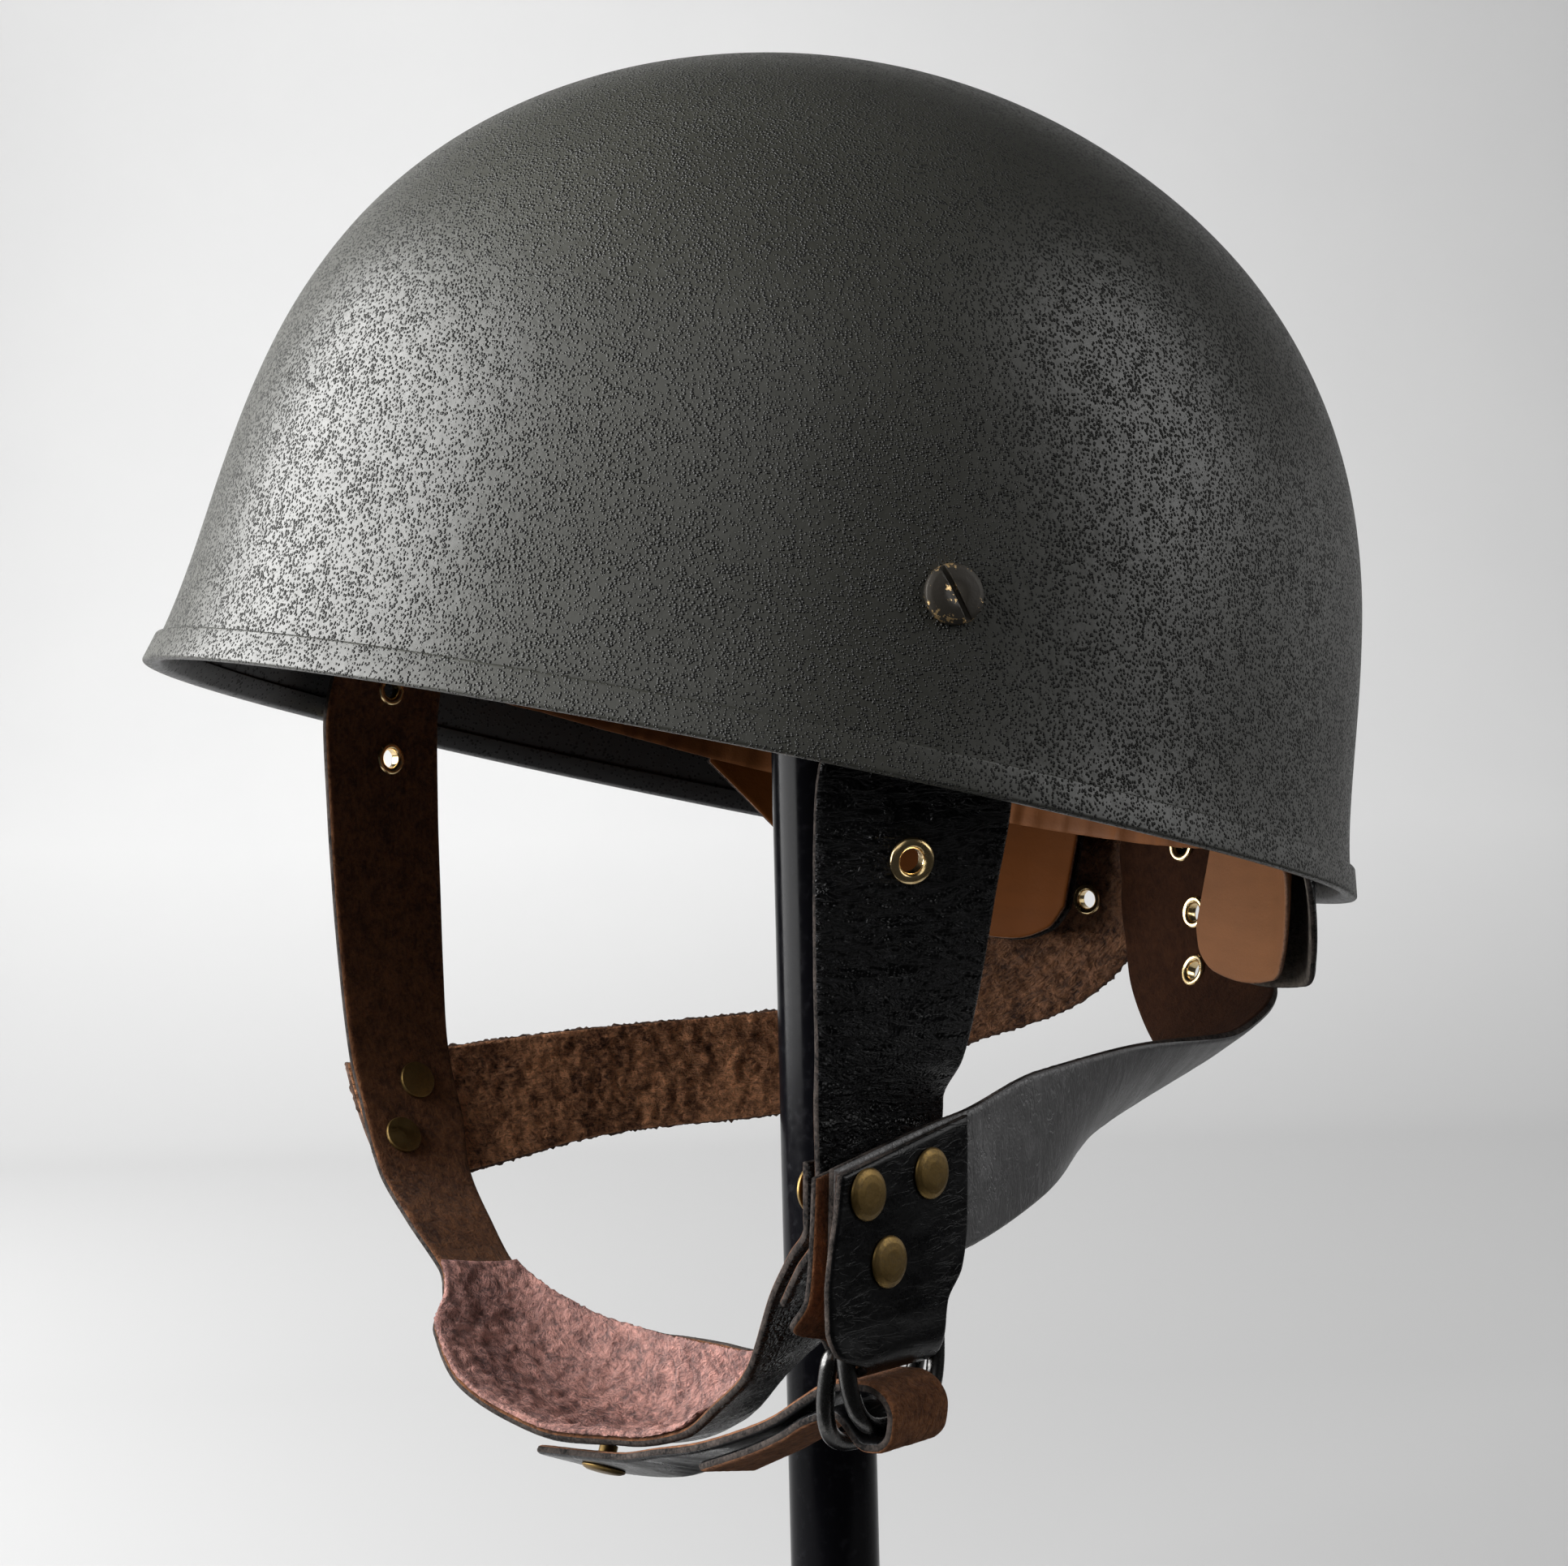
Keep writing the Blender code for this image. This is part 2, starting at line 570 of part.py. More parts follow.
def nape_strap_right(cup):
    """Hangs from the rear screw, outside the left one, and runs to the outside of the cup strap."""
    offset = LEATHER + GAP + 0.4
    front_top = cup.beside((-98.0, -56.5, -63.5), offset)[0]
    front_low = cup.beside((-84.0, -52.0, -93.0), offset)[0]
    rear_top = cup.beside((-100.0, -30.0, -61.5), offset)[0]
    rear_low = cup.beside((-87.0, -30.0, -90.0), offset)[0]
    rows = [wall_row(REAR_ANGLE, -8.0, 46.0, STRAP_INSET + 0.2, 0.9),
            wall_row(REAR_ANGLE, -9.0, SCREW_HEIGHT, STRAP_INSET, 1.0),
            ((-26.0, 130.2, -4.0), (6.0, 133.2, 2.0), 0.8),
            ((-38.5, 125.1, -15.0), (-16.5, 131.4, -23.0), 0.8),
            ((-48.0, 118.8, -27.0), (-23.5, 131.0, -42.0), 0.5),
            ((-58.0, 106.6, -41.5), (-35.5, 121.6, -57.5), 1.0),
            ((-69.0, 85.0, -51.0), (-60.0, 98.8, -69.4), 1.5),
            ((-82.0, 58.0, -57.8), (-80.0, 58.5, -84.5), 1.0),
            ((-95.0, 7.2, -59.9), (-93.5, 11.0, -87.0), 0.5),
            (rear_top, rear_low, 2.3), (front_top, front_low, 2.3)]
    return Strip(rows, 26, 3, -1, LEATHER, tuck=STRAP_INSET)


# Ring holder: one piece folded round the bars of the two rings

FOLD_CENTRE = (-6.0, -101.2)
FOLD_RADIUS = 5.4


def ring_holder():
    """Front half, the fold round the bars, and the back half."""
    rows = [(stack_point(PLATE_LEVEL, -13.7, -69.2), stack_point(PLATE_LEVEL, 22.9, -62.2), 0.0)]
    for up, left, right in ((-76.0, -15.0, 22.4), (-83.0, -16.8, 22.0), (-90.5, -18.0, 20.2)):
        rows.append((stack_point(PLATE_LEVEL, left, up), stack_point(PLATE_LEVEL, right, up), 0.0))
    rows.append((stack_point(PLATE_LEVEL, -18.0, -96.0), stack_point(PLATE_LEVEL, 15.8, -96.0), 0.0))
    for turn, left, right in ((0.0, -16.0, 14.2), (-45.0, -7.2, 13.9), (-90.0, -6.3, 13.6),
                              (-135.0, -6.3, 13.8), (-180.0, -7.4, 14.2)):
        angle = math.radians(turn)
        outward = FOLD_CENTRE[0] + FOLD_RADIUS * math.cos(angle)
        up = FOLD_CENTRE[1] + FOLD_RADIUS * math.sin(angle)
        rows.append((stack_point(outward, left, up), stack_point(outward, right, up), 0.0))
    rows += [(stack_point(BACK_LEVEL - 2.4, -19.5, -96.3), stack_point(BACK_LEVEL - 2.4, 18.0, -96.3), 0.0),
             (stack_point(BACK_LEVEL, -18.0, -91.5), stack_point(BACK_LEVEL, 20.5, -91.5), 0.0),
             (stack_point(BACK_LEVEL, -16.5, -83.0), stack_point(BACK_LEVEL, 22.0, -83.0), 0.0),
             (stack_point(BACK_LEVEL, -15.2, -69.8), stack_point(BACK_LEVEL, 22.4, -63.0), 0.0)]
    return Strip(rows, 0, 2, 1, HOLDER_LEATHER, per_row=2)


RING_WIRE = 1.7
RING_HALF = 13.0
RING_DEPTH = 19.3
RING_MIDDLE = 3.4
# Bar's place outward and up, and the swing inward
RING_BARS = {"ring_inner": (-7.7, -102.3, 12.5), "ring_outer": (-4.4, -98.0, -2.5)}


def build_ring(name, paint):
    """A D: a straight bar in the holder's fold and a round side hanging below it."""
    bar_outward, bar_up, swing = RING_BARS[name]
    tilt = math.radians(swing)
    steps, sides = 22, 6
    path = []
    for k in range(steps):
        turn = 2 * math.pi * k / steps
        across = RING_HALF * math.copysign(abs(math.cos(turn)) ** 0.6, math.cos(turn))
        corner = 2.0
        if math.sin(turn) >= 0.0:
            down = corner + (RING_DEPTH - corner) * math.sin(turn) ** 0.75
        else:
            down = corner - corner * abs(math.sin(turn)) ** 0.5
        outward = bar_outward - down * math.sin(tilt)
        up = bar_up - down * math.cos(tilt)
        path.append(stack_point(outward, RING_MIDDLE + across, up))
    path = np.array(path)
    ahead = np.roll(path, -1, axis=0) - np.roll(path, 1, axis=0)
    flat = np.cross(path[0] - path[5], path[11] - path[5])
    flat /= np.linalg.norm(flat)
    points, faces = [], []
    for k in range(steps):
        along = ahead[k] / np.linalg.norm(ahead[k])
        side = np.cross(flat, along)
        for j in range(sides):
            turn = 2 * math.pi * j / sides
            points.append(path[k] + RING_WIRE * (math.cos(turn) * side + math.sin(turn) * flat))
    for k in range(steps):
        for j in range(sides):
            here, ahead_ring = k * sides, ((k + 1) % steps) * sides
            faces.append([here + j, here + (j + 1) % sides, ahead_ring + (j + 1) % sides, ahead_ring + j])
    return add_solid(name, points, faces, paint)


LOOP_CENTRE = (-3.7, -114.9)
LOOP_RADIUS = 5.5
LOOP_SIDES = (-4.5, 11.5)


def adjusting_strap():
    """Riveted under the cup, through both rings, round the outer one and back beneath itself."""
    rows = [((-13.0, -54.0, -141.4), (-11.0, -38.5, -147.2), 0.0),
            ((6.0, -53.5, -138.9), (6.5, -38.0, -145.2), 0.0),
            ((20.0, -53.0, -136.9), (20.0, -37.0, -142.8), 0.0),
            ((33.0, -52.5, -133.6), (33.0, -36.0, -138.2), 0.0),
            ((46.0, -52.2, -130.4), (47.0, -36.0, -132.4), 0.0),
            ((60.0, -52.0, -125.8), (60.0, -36.0, -126.4), 0.0),
            ((74.0, -51.5, -120.2), (72.0, -36.5, -120.4), 0.0)]
    near, far = LOOP_SIDES
    for outward, up in ((-20.0, -114.2), (-12.5, -110.4)):
        rows.append((stack_point(outward, near, up), stack_point(outward, far, up), 0.0))
    for turn in (90.0, 50.0, 10.0, -30.0, -70.0, -100.0):
        angle = math.radians(turn)
        outward = LOOP_CENTRE[0] + LOOP_RADIUS * math.cos(angle)
        up = LOOP_CENTRE[1] + LOOP_RADIUS * math.sin(angle)
        rows.append((stack_point(outward, near, up), stack_point(outward, far, up), 0.0))
    rows += [(stack_point(-12.0, near, -115.4), stack_point(-12.0, far, -115.4), 0.0),
             (stack_point(-19.5, near, -117.8), stack_point(-19.5, far, -118.0), 0.0),
             ((78.0, -51.5, -121.9), (74.5, -36.0, -122.6), 0.0),
             ((66.0, -51.0, -127.1), (62.0, -35.5, -128.9), 0.0),
             ((56.0, -51.0, -130.9), (52.0, -35.5, -133.4), 0.0),
             ((48.0, -51.0, -133.8), (44.0, -35.5, -137.0), 0.0)]
    return Strip(rows, 0, 1, -1, LEATHER, per_row=2)


# Neck flaps: a tan lining and a black cover, hanging inside the rim

FLAP_TABLE = {
    # angle from the rear, lowest height
    "left": ((11.0, -10.0), (13.0, -16.0), (17.0, -20.0), (24.0, -21.5), (32.0, -20.0),
             (38.0, -15.0), (43.0, -6.0), (52.0, 4.0), (66.0, 12.0)),
    "right": ((14.0, -10.0), (16.0, -16.0), (21.0, -20.0), (31.0, -21.0), (40.0, -20.0),
              (47.0, -17.0), (52.0, -9.0), (58.0, 0.0), (66.0, 11.0)),
}
FLAP_TOP = 21.0
FLAP_DROP = 43.0
RIGHT_FLARE = 0.45
RIGHT_PINCH = 0.6
# Half width, half length, flare at the lowest edge, and thickness of each layer
FLAP_LAYERS = {"lining": (109.4, 120.4, 5.5, LINING), "cover": (111.9, 122.9, 10.6, 1.8)}


def neck_flap(side, layer):
    """Stands away from the neck more and more from its rear edge forward."""
    half_width, half_length, flare, thickness = FLAP_LAYERS[layer]
    sign = 1.0 if side == "left" else -1.0
    flare *= 1.0 if side == "left" else RIGHT_FLARE
    pinch = 0.0 if side == "left" else RIGHT_PINCH
    rows = []
    for angle, lowest in FLAP_TABLE[side]:
        turn = math.radians(angle)
        lean = flare * min(1.0, max(0.0, (angle - 15.0) / 17.0)) / FLAP_DROP
        ends = []
        for height in (FLAP_TOP, lowest):
            out = lean * (FLAP_TOP - height) - pinch
            ends.append(hung_from_helmet((sign * (half_width + out) * math.sin(turn),
                                          (half_length + out) * math.cos(turn), height)))
        rows.append((ends[0], ends[1], 0.0))
    return Strip(rows, 14, 2, 1, thickness)


SWEATBAND_TOP = 46.0
SWEATBAND_HALF_WIDTH = 107.0
SWEATBAND_HALF_LENGTH = 118.0
SWEATBAND_INSET = {}


def sweatband_inset(angle):
    """Distance from the shell's outside to the sweatband's outside at a screw."""
    centre, axis = screw_seat(angle)
    for step in range(400):
        depth = 0.1 * step
        x, y, _ = centre - axis * depth
        reach = math.hypot(x / (SWEATBAND_HALF_WIDTH + LINING / 2), y / (SWEATBAND_HALF_LENGTH + LINING / 2))
        if reach <= 1.0:
            return depth - 0.3
    return 12.0


def build_sweatband(paint):
    """A leather ring inside the shell whose lower edge is gathered in shallow pleats."""
    segments, pleats = 44, 11
    points, faces = [], []
    levels = (0.0, 0.4, 1.0)
    for k in range(segments):
        turn = 2 * math.pi * k / segments
        lowest = 14.0 + 5.5 * min(0.0, math.cos(turn))
        wave = math.cos(pleats * turn)
        for side in (1.0, -1.0):
            for level in levels if side > 0 else levels[::-1]:
                pleat = -0.8 * (1.0 - level) * (1.0 + wave) / 2
                out = pleat + side * LINING / 2
                height = lowest + level * (SWEATBAND_TOP - lowest)
                points.append(((SWEATBAND_HALF_WIDTH + out) * math.sin(turn),
                               -(SWEATBAND_HALF_LENGTH + out) * math.cos(turn), height))
    count = 2 * len(levels)
    for k in range(segments):
        here, ahead = k * count, ((k + 1) % segments) * count
        for j in range(count):
            faces.append([here + j, here + (j + 1) % count, ahead + (j + 1) % count, ahead + j])
    return add_solid("sweatband", hung_from_helmet(points), faces, paint)


# Rivets and eyelets

RIVET_CAP = 4.9
RIVET_SHANK = 2.0
CHIN_SHANK = 3.5
EYELET_OUTER = 4.5
EYELET_HOLE = 2.3
EYELET_BARREL = 2.9


def build_rivet(name, centre, axis, front, back, capped, paint):
    """A domed cap on a shank, and a second cap where the back shows.

    Front and back are the levels of the outer faces of the stack that it holds.
    """
    top, low = front + GAP, back - GAP
    profile = [(0.0, top + 1.3), (3.3, top + 1.2), (RIVET_CAP, top + 0.4), (RIVET_CAP - 0.2, top),
               (RIVET_SHANK, top), (RIVET_SHANK, low)]
    if capped:
        profile += [(RIVET_CAP - 0.2, low), (RIVET_CAP - 0.4, low - 0.8), (0.0, low - 1.1)]
    else:
        profile.append((0.0, low))
    points, faces = turned(profile, 11, centre, axis)
    add_solid(name, points, faces, paint)


def build_eyelet(name, strip, place, paint):
    centre, axis, high, low = strip.seat(place, EYELET_OUTER)
    face = strip.thickness / 2 + GAP + 0.1
    top, bottom = high + face, low - face
    profile = [(EYELET_OUTER, top), (EYELET_OUTER - 0.8, top + 0.8), (EYELET_HOLE, top + 0.3),
               (EYELET_HOLE, bottom - 0.3), (EYELET_OUTER - 0.6, bottom - 0.7),
               (EYELET_OUTER - 0.3, bottom), (EYELET_BARREL, bottom), (EYELET_BARREL, top)]
    points, faces = turned(profile, 10, centre, axis)
    add_solid(name, points, faces, paint)
    return bore(EYELET_BARREL + GAP, centre, axis, 3.0)


def shell_crown_over(x, y):
    """Height in the hung frame of the shell's inside over a point."""
    rings, _ = dome_rings(SHELL_WALL, np.linspace(0.8, 0.999, 200))
    points = hung_from_helmet(np.array(rings).reshape(-1, 3))
    away = np.hypot(points[:, 0] - x, points[:, 1] - y)
    return float(points[np.argmin(away), 2])


def build_stand(paints):
    x, y = -RIM_CENTRE[0], -RIM_CENTRE[1]
    floor = -RIM_CENTRE[2]
    base = [(0.0, BASE_THICK), (BASE_RADIUS - 3.0, BASE_THICK), (BASE_RADIUS, BASE_THICK - 2.5),
            (BASE_RADIUS, 0.8), (BASE_RADIUS - 0.8, 0.0), (0.0, 0.0)]
    points, faces = turned(base, 44, (x, y, floor), (0.0, 0.0, 1.0))
    add_solid("stand_base", points, faces, paints["stand"])
    top = shell_crown_over(x, y) - HEAD_CLEAR
    drop = HEAD_DOME - math.sqrt(HEAD_DOME**2 - HEAD_RADIUS**2)
    middle = HEAD_DOME - math.sqrt(HEAD_DOME**2 - (HEAD_RADIUS * 0.55) ** 2)
    head = [(0.0, 0.0), (HEAD_RADIUS * 0.55, -middle), (HEAD_RADIUS, -drop), (HEAD_RADIUS, -drop - 2.5),
            (POLE_RADIUS + 3.0, -HEAD_THICK), (0.0, -HEAD_THICK)]
    points, faces = turned(head, 24, (x, y, top), (0.0, 0.0, 1.0))
    add_solid("stand_head", points, faces, paints["stand"])
    foot, tip = floor + BASE_THICK + GAP, top - HEAD_THICK - GAP
    pole = [(0.0, tip - foot), (POLE_RADIUS, tip - foot), (POLE_RADIUS, 0.0), (0.0, 0.0)]
    points, faces = turned(pole, 24, (x, y, foot), (0.0, 0.0, 1.0))
    add_solid("stand_pole", points, faces, paints["stand"])


def main():
    clear_scene()
    paints = {
        "shell": material("cork_paint", (0.055, 0.058, 0.052), 0.62),
        "band": material("band_paint", (0.03, 0.032, 0.03), 0.45),
        "black": material("black_leather", (0.012, 0.012, 0.013), 0.42),
        "tan": material("tan_leather", (0.42, 0.2, 0.09), 0.6),
        "pink": material("pink_suede", (0.45, 0.2, 0.17), 0.9),
        "brass": material("antique_brass", (0.32, 0.2, 0.1), 0.38, 1.0),
        "gold": material("gilt_brass", (0.85, 0.62, 0.3), 0.22, 1.0),
        "ring": material("gunmetal", (0.09, 0.09, 0.09), 0.3, 1.0),
        "stand": material("black_gloss_paint", (0.008, 0.008, 0.009), 0.2),
    }
    for angle in SCREW_ANGLES:
        SWEATBAND_INSET[angle] = sweatband_inset(angle)
    build_shell(paints["shell"])
    build_rim_band(paints["band"])
    build_sweatband(paints["tan"])

    left = chin_strap_left()
    cup = chin_cup_strap(left)
    nape_left = nape_strap_left()
    nape_right = nape_strap_right(cup)
    holder = ring_holder()
    adjuster = adjusting_strap()
    build_screw("screw_left", SIDE_ANGLE, left, paints["brass"])
    build_screw("screw_right", 360.0 - SIDE_ANGLE, cup, paints["brass"])
    build_screw("screw_rear", REAR_ANGLE, nape_left, paints["brass"])

    solids = {}
    for name, strip, paint in (("chin_strap_left", left, "black"), ("chin_cup_strap", cup, "black"),
                               ("nape_strap_left", nape_left, "black"),
                               ("nape_strap_right", nape_right, "black"),
                               ("ring_holder", holder, "black"), ("adjusting_strap", adjuster, "black"),
                               ("chin_cup_lining", cup_lining(cup), "pink")):
        solids[name] = strip.solid(name, paints[paint])
    for side in FLAP_TABLE:
        neck_flap(side, "lining").solid("neck_flap_lining_" + side, paints["tan"])
        neck_flap(side, "cover").solid("neck_flap_cover_" + side, paints["black"])
    for name in RING_BARS:
        build_ring(name, paints["ring"])

    bores = {name: [] for name in solids}
    screws = {angle: bore(SHANK_RADIUS + GAP, *hung_seat(angle), 14.0) for angle in SCREW_ANGLES}
    bores["chin_strap_left"].append(screws[SIDE_ANGLE])
    bores["chin_cup_strap"].append(screws[360.0 - SIDE_ANGLE])
    bores["nape_strap_left"].append(screws[REAR_ANGLE])
    bores["nape_strap_right"].append(screws[REAR_ANGLE])

    # Rivets of the stack: place along and up, level of the last layer's back, and what they pass
    through = ("ring_holder", "nape_strap_left", "chin_strap_left", "chin_cup_strap")
    tail_back = SIDE_LEVEL - TAIL_OFFSET - LEATHER / 2 - 1.2
    holder_back = BACK_LEVEL - HOLDER_LEATHER / 2
    stack_rivets = ((-7.3, -73.2, tail_back, through), (10.9, -71.6, tail_back, through),
                    (-1.9, -86.2, holder_back, through[:2]))
    for number, (along, up, back, passed) in enumerate(stack_rivets, 1):
        centre = stack_point(0.0, along, up)
        build_rivet("rivet_stack_%d" % number, centre, STACK_AXIS, 0.0, back, True, paints["brass"])
        for name in passed:
            middle = centre + STACK_AXIS * back / 2
            bores[name].append(bore(RIVET_SHANK + GAP, middle, STACK_AXIS, 1.0 - back / 2))
    for number, place in enumerate(((-96.0, -39.7, -69.6), (-91.0, -47.3, -82.7)), 1):
        centre, axis, _, low = cup.seat(place, RIVET_CAP)
        outer, _, high, _ = nape_right.seat(centre + axis * TAIL_OFFSET, RIVET_CAP)
        front = float((outer - centre) @ axis) + high + LEATHER / 2 + 0.4
        back = low - LEATHER / 2
        build_rivet("rivet_nape_%d" % number, centre, axis, front, back, True, paints["brass"])
        for name in ("chin_cup_strap", "nape_strap_right"):
            bores[name].append(bore(RIVET_SHANK + GAP, centre, axis, 7.0))
    centre, axis, high, _ = adjuster.seat((1.5, -46.0, -143.4), RIVET_CAP)
    front, back = high + LEATHER / 2, -CHIN_SHANK
    build_rivet("rivet_chin", centre, axis, front, back, False, paints["brass"])
    for name in ("adjusting_strap", "chin_cup_strap"):
        bores[name].append(bore(RIVET_SHANK + GAP, centre, axis, 6.5))

    eyelets = (("eyelet_left_1", left, "chin_strap_left", (108.0, -41.0, 9.0)),
               ("eyelet_left_2", left, "chin_strap_left", (106.5, -40.0, -13.0)),
               ("eyelet_right_1", cup, "chin_cup_strap", (-106.0, -39.5, 27.2)),
               ("eyelet_right_2", cup, "chin_cup_strap", (-106.0, -40.8, 10.4)),
               ("eyelet_nape_left_1", nape_left, "nape_strap_left", (-1.9, 128.0, -16.8)),
               ("eyelet_nape_left_2", nape_left, "nape_strap_left", (4.4, 128.0, -33.0)),
               ("eyelet_nape_left_3", nape_left, "nape_strap_left", (5.8, 128.0, -49.0)),
               ("eyelet_nape_right_1", nape_right, "nape_strap_right", (-36.0, 128.0, -30.8)))
    for name, strip, owner, place in eyelets:
        bores[owner].append(build_eyelet(name, strip, place, paints["gold"]))
    for name, shapes in bores.items():
        if shapes:
            cut(solids[name], name + "_bores", shapes)
    build_stand(paints)


if __name__ == "__main__":
    main()
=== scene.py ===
"""Looks of the paratrooper helmet on its stand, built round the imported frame."""
import math

import bmesh
import bpy
import numpy as np
from mathutils import Matrix, Vector

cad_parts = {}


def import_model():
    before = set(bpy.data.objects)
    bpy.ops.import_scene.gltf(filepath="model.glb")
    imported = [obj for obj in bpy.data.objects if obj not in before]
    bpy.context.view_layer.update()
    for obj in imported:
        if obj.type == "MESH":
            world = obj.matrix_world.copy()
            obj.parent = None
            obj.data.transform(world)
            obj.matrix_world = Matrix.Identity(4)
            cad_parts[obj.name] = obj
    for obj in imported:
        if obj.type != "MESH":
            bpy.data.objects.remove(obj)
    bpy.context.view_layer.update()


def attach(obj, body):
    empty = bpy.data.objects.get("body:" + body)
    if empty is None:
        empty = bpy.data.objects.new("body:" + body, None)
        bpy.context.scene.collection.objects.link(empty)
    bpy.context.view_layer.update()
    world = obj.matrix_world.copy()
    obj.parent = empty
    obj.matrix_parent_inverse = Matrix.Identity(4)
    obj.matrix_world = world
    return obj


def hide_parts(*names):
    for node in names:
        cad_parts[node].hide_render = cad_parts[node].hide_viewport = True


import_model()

MM = 0.001

# Shell, in millimetres, in the helmet frame: origin at the rim's centre, front towards -Y, up +Z
BODY_HALF_LENGTH = 132.5
BODY_HALF_WIDTH = 118.7
SHELL_HEIGHT = 162.3
SHELL_WALL = 1.5
WALL_POWER = 1.118
RISE_POWER = 0.627
FLARE_OUT = 6.4
FLARE_HEIGHT = 19.8
CROWN_SHIFT = 1.6
SHELL_EDGE = 1.1
SHELL_RINGS = 120
SHELL_SIDES = 288
PAINT_SWELL = 0.12
PAINT_SWELL_SCALE = 26.0

# How the helmet hangs: the hung frame has the world's axes, with its origin at the rim's centre
RIM_CENTRE = (-4.0, -12.0, 245.0)
LEAN_BACK = math.radians(11.95)
ROLL_LEFT = math.radians(4.1)

# Rim band
BAND_WALL = 0.8
BAND_OUTSIDE = 6.6
BAND_INSIDE = 5.6
BAND_ROUND = 0.5
BAND_PAINT_EDGE = -0.2
BAND_SIDES = 400

# Leather and the gap between layers
GAP = 0.3
LEATHER = 2.2
HOLDER_LEATHER = 2.0
LINING = 1.3
STRAP_INSET = SHELL_WALL + GAP + LEATHER / 2 + 0.3

# Straps come inside the rim band over a height above it, and leave the shell over one below it
TUCK_TOP = 0.9
TUCK_CLEAR = 0.75
TUCK_START = 7.0
TUCK_OVER = 6.0
FREE_DEPTH = 14.0
FREE_OVER = 10.0

# A sheet's mesh and shape near its cut edge
EDGE_STEPS = (0.0, 0.18, 0.45)
EDGE_ROUND = 0.9
EDGE_THIN = 0.45
EDGE_SWELL = 0.7
EDGE_FRAY_SCALE = 0.7
WALL_STEPS = 4
RELIEF_MARGIN = 2.0
HOLE_REACH = 6.0

# Screws
SCREW_HEIGHT = 35.0
STRAP_END_HEIGHT = 46.0
SIDE_ANGLE = 71.0
REAR_ANGLE = 180.0
SHANK_RADIUS = 2.5
SCREW_HEAD = 5.7
SCREW_DOME = 1.7
SCREW_RIM = 4.7
NUT_RADIUS = 4.5
NUT_THICK = 1.8
SLOT_TURN = 25.0
SLOT_SIZE = (1.1, 14.0, 2.0)

# The riveted stack's frame: outward, along to the rear, and up. Levels are the middles of its layers
STACK_ORIGIN = (104.0, -43.0)
STACK_TURN = math.radians(13.5)
STACK_AXIS = np.array([math.cos(STACK_TURN), math.sin(STACK_TURN), 0.0])
PLATE_LEVEL = -HOLDER_LEATHER / 2
NAPE_LEVEL = -HOLDER_LEATHER - GAP - LEATHER / 2
BACK_LEVEL = -1.5 * HOLDER_LEATHER - 2 * GAP - LEATHER
SIDE_LEVEL = -2 * HOLDER_LEATHER - 3 * GAP - 1.5 * LEATHER

# The cup strap's tail inside the left strap, and the cup's lining
TAIL_OFFSET = LEATHER + GAP
TAIL_ROOM = 0.4
TAIL_START = -98.5
TAIL_END = -63.0
CUP_START = -60.0
CUP_END = 47.0
CUP_TOP = -100.0
LINING_GLUE = 0.1

# Ring holder, rings and the adjusting strap's loop, in the stack's frame
FOLD_CENTRE = (-6.0, -101.2)
FOLD_RADIUS = 5.4
FOLD_BELLY = 2.4
RING_WIRE = 1.7
RING_HALF = 13.0
RING_DEPTH = 19.3
RING_CORNER = 2.0
RING_MIDDLE = 3.4
RING_STEPS = 120
RING_SIDES = 16
# outward and up of the bar, swing in degrees
RING_BARS = {"ring_inner": (-7.7, -102.3, 12.5), "ring_outer": (-4.4, -98.0, -2.5)}
LOOP_CENTRE = (-3.7, -114.9)
LOOP_RADIUS = 5.5
LOOP_SIDES = (-4.5, 11.5)

# Neck flaps
FLAP_TABLE = {
    # angle from the rear, lowest height
    "left": ((11.0, -10.0), (13.0, -16.0), (17.0, -20.0), (24.0, -21.5), (32.0, -20.0),
             (38.0, -15.0), (43.0, -6.0), (52.0, 4.0), (66.0, 12.0)),
    "right": ((14.0, -10.0), (16.0, -16.0), (21.0, -20.0), (31.0, -21.0), (40.0, -20.0),
              (47.0, -17.0), (52.0, -9.0), (58.0, 0.0), (66.0, 11.0)),
}
FLAP_TOP = 21.0
FLAP_DROP = 43.0
FLAP_LEAN_START = 15.0
FLAP_LEAN_OVER = 17.0
RIGHT_FLARE = 0.45
RIGHT_PINCH = 0.6
# half width, half length, flare at the lower edge, thickness
FLAP_LAYERS = {"lining": (109.4, 120.4, 5.5, LINING), "cover": (111.9, 122.9, 10.6, 1.8)}

# Sweatband: its lower edge drops to the rear, its pleats open and its gathers deepen downwards
SWEATBAND_TOP = 46.0
SWEATBAND_LOW = 14.0
SWEATBAND_REAR_DROP = 5.5
SWEATBAND_HALF_WIDTH = 107.0
SWEATBAND_HALF_LENGTH = 118.0
SWEATBAND_MEAN_RADIUS = 112.0
SWEATBAND_SEGMENTS = 880
# its edges round off over one part in so many of its height
SWEATBAND_EDGES = 30.0
PLEATS = 11
PLEAT_DEPTH = 0.8
PLEAT_RIPPLE = 0.25
GATHER_DEPTH = 1.7
GATHER_MIDDLE = 0.35
GATHER_SCALE = 20.0

# Rivets and eyelets
RIVET_CAP = 4.9
RIVET_SHANK = 2.0
CHIN_SHANK = 3.7
EYELET_OUTER = 4.5
EYELET_HOLE = 2.3
EYELET_BARREL = 2.9
# near which places the eyelets sit, in the hung frame
EYELETS = {
    "left": ((108.0, -41.0, 9.0), (106.5, -40.0, -13.0)),
    "right": ((-106.0, -39.5, 27.2), (-106.0, -40.8, 10.4)),
    "nape_left": ((-1.9, 128.0, -16.8), (4.4, 128.0, -33.0), (5.8, 128.0, -49.0)),
    "nape_right": ((-36.0, 128.0, -30.8),),
}

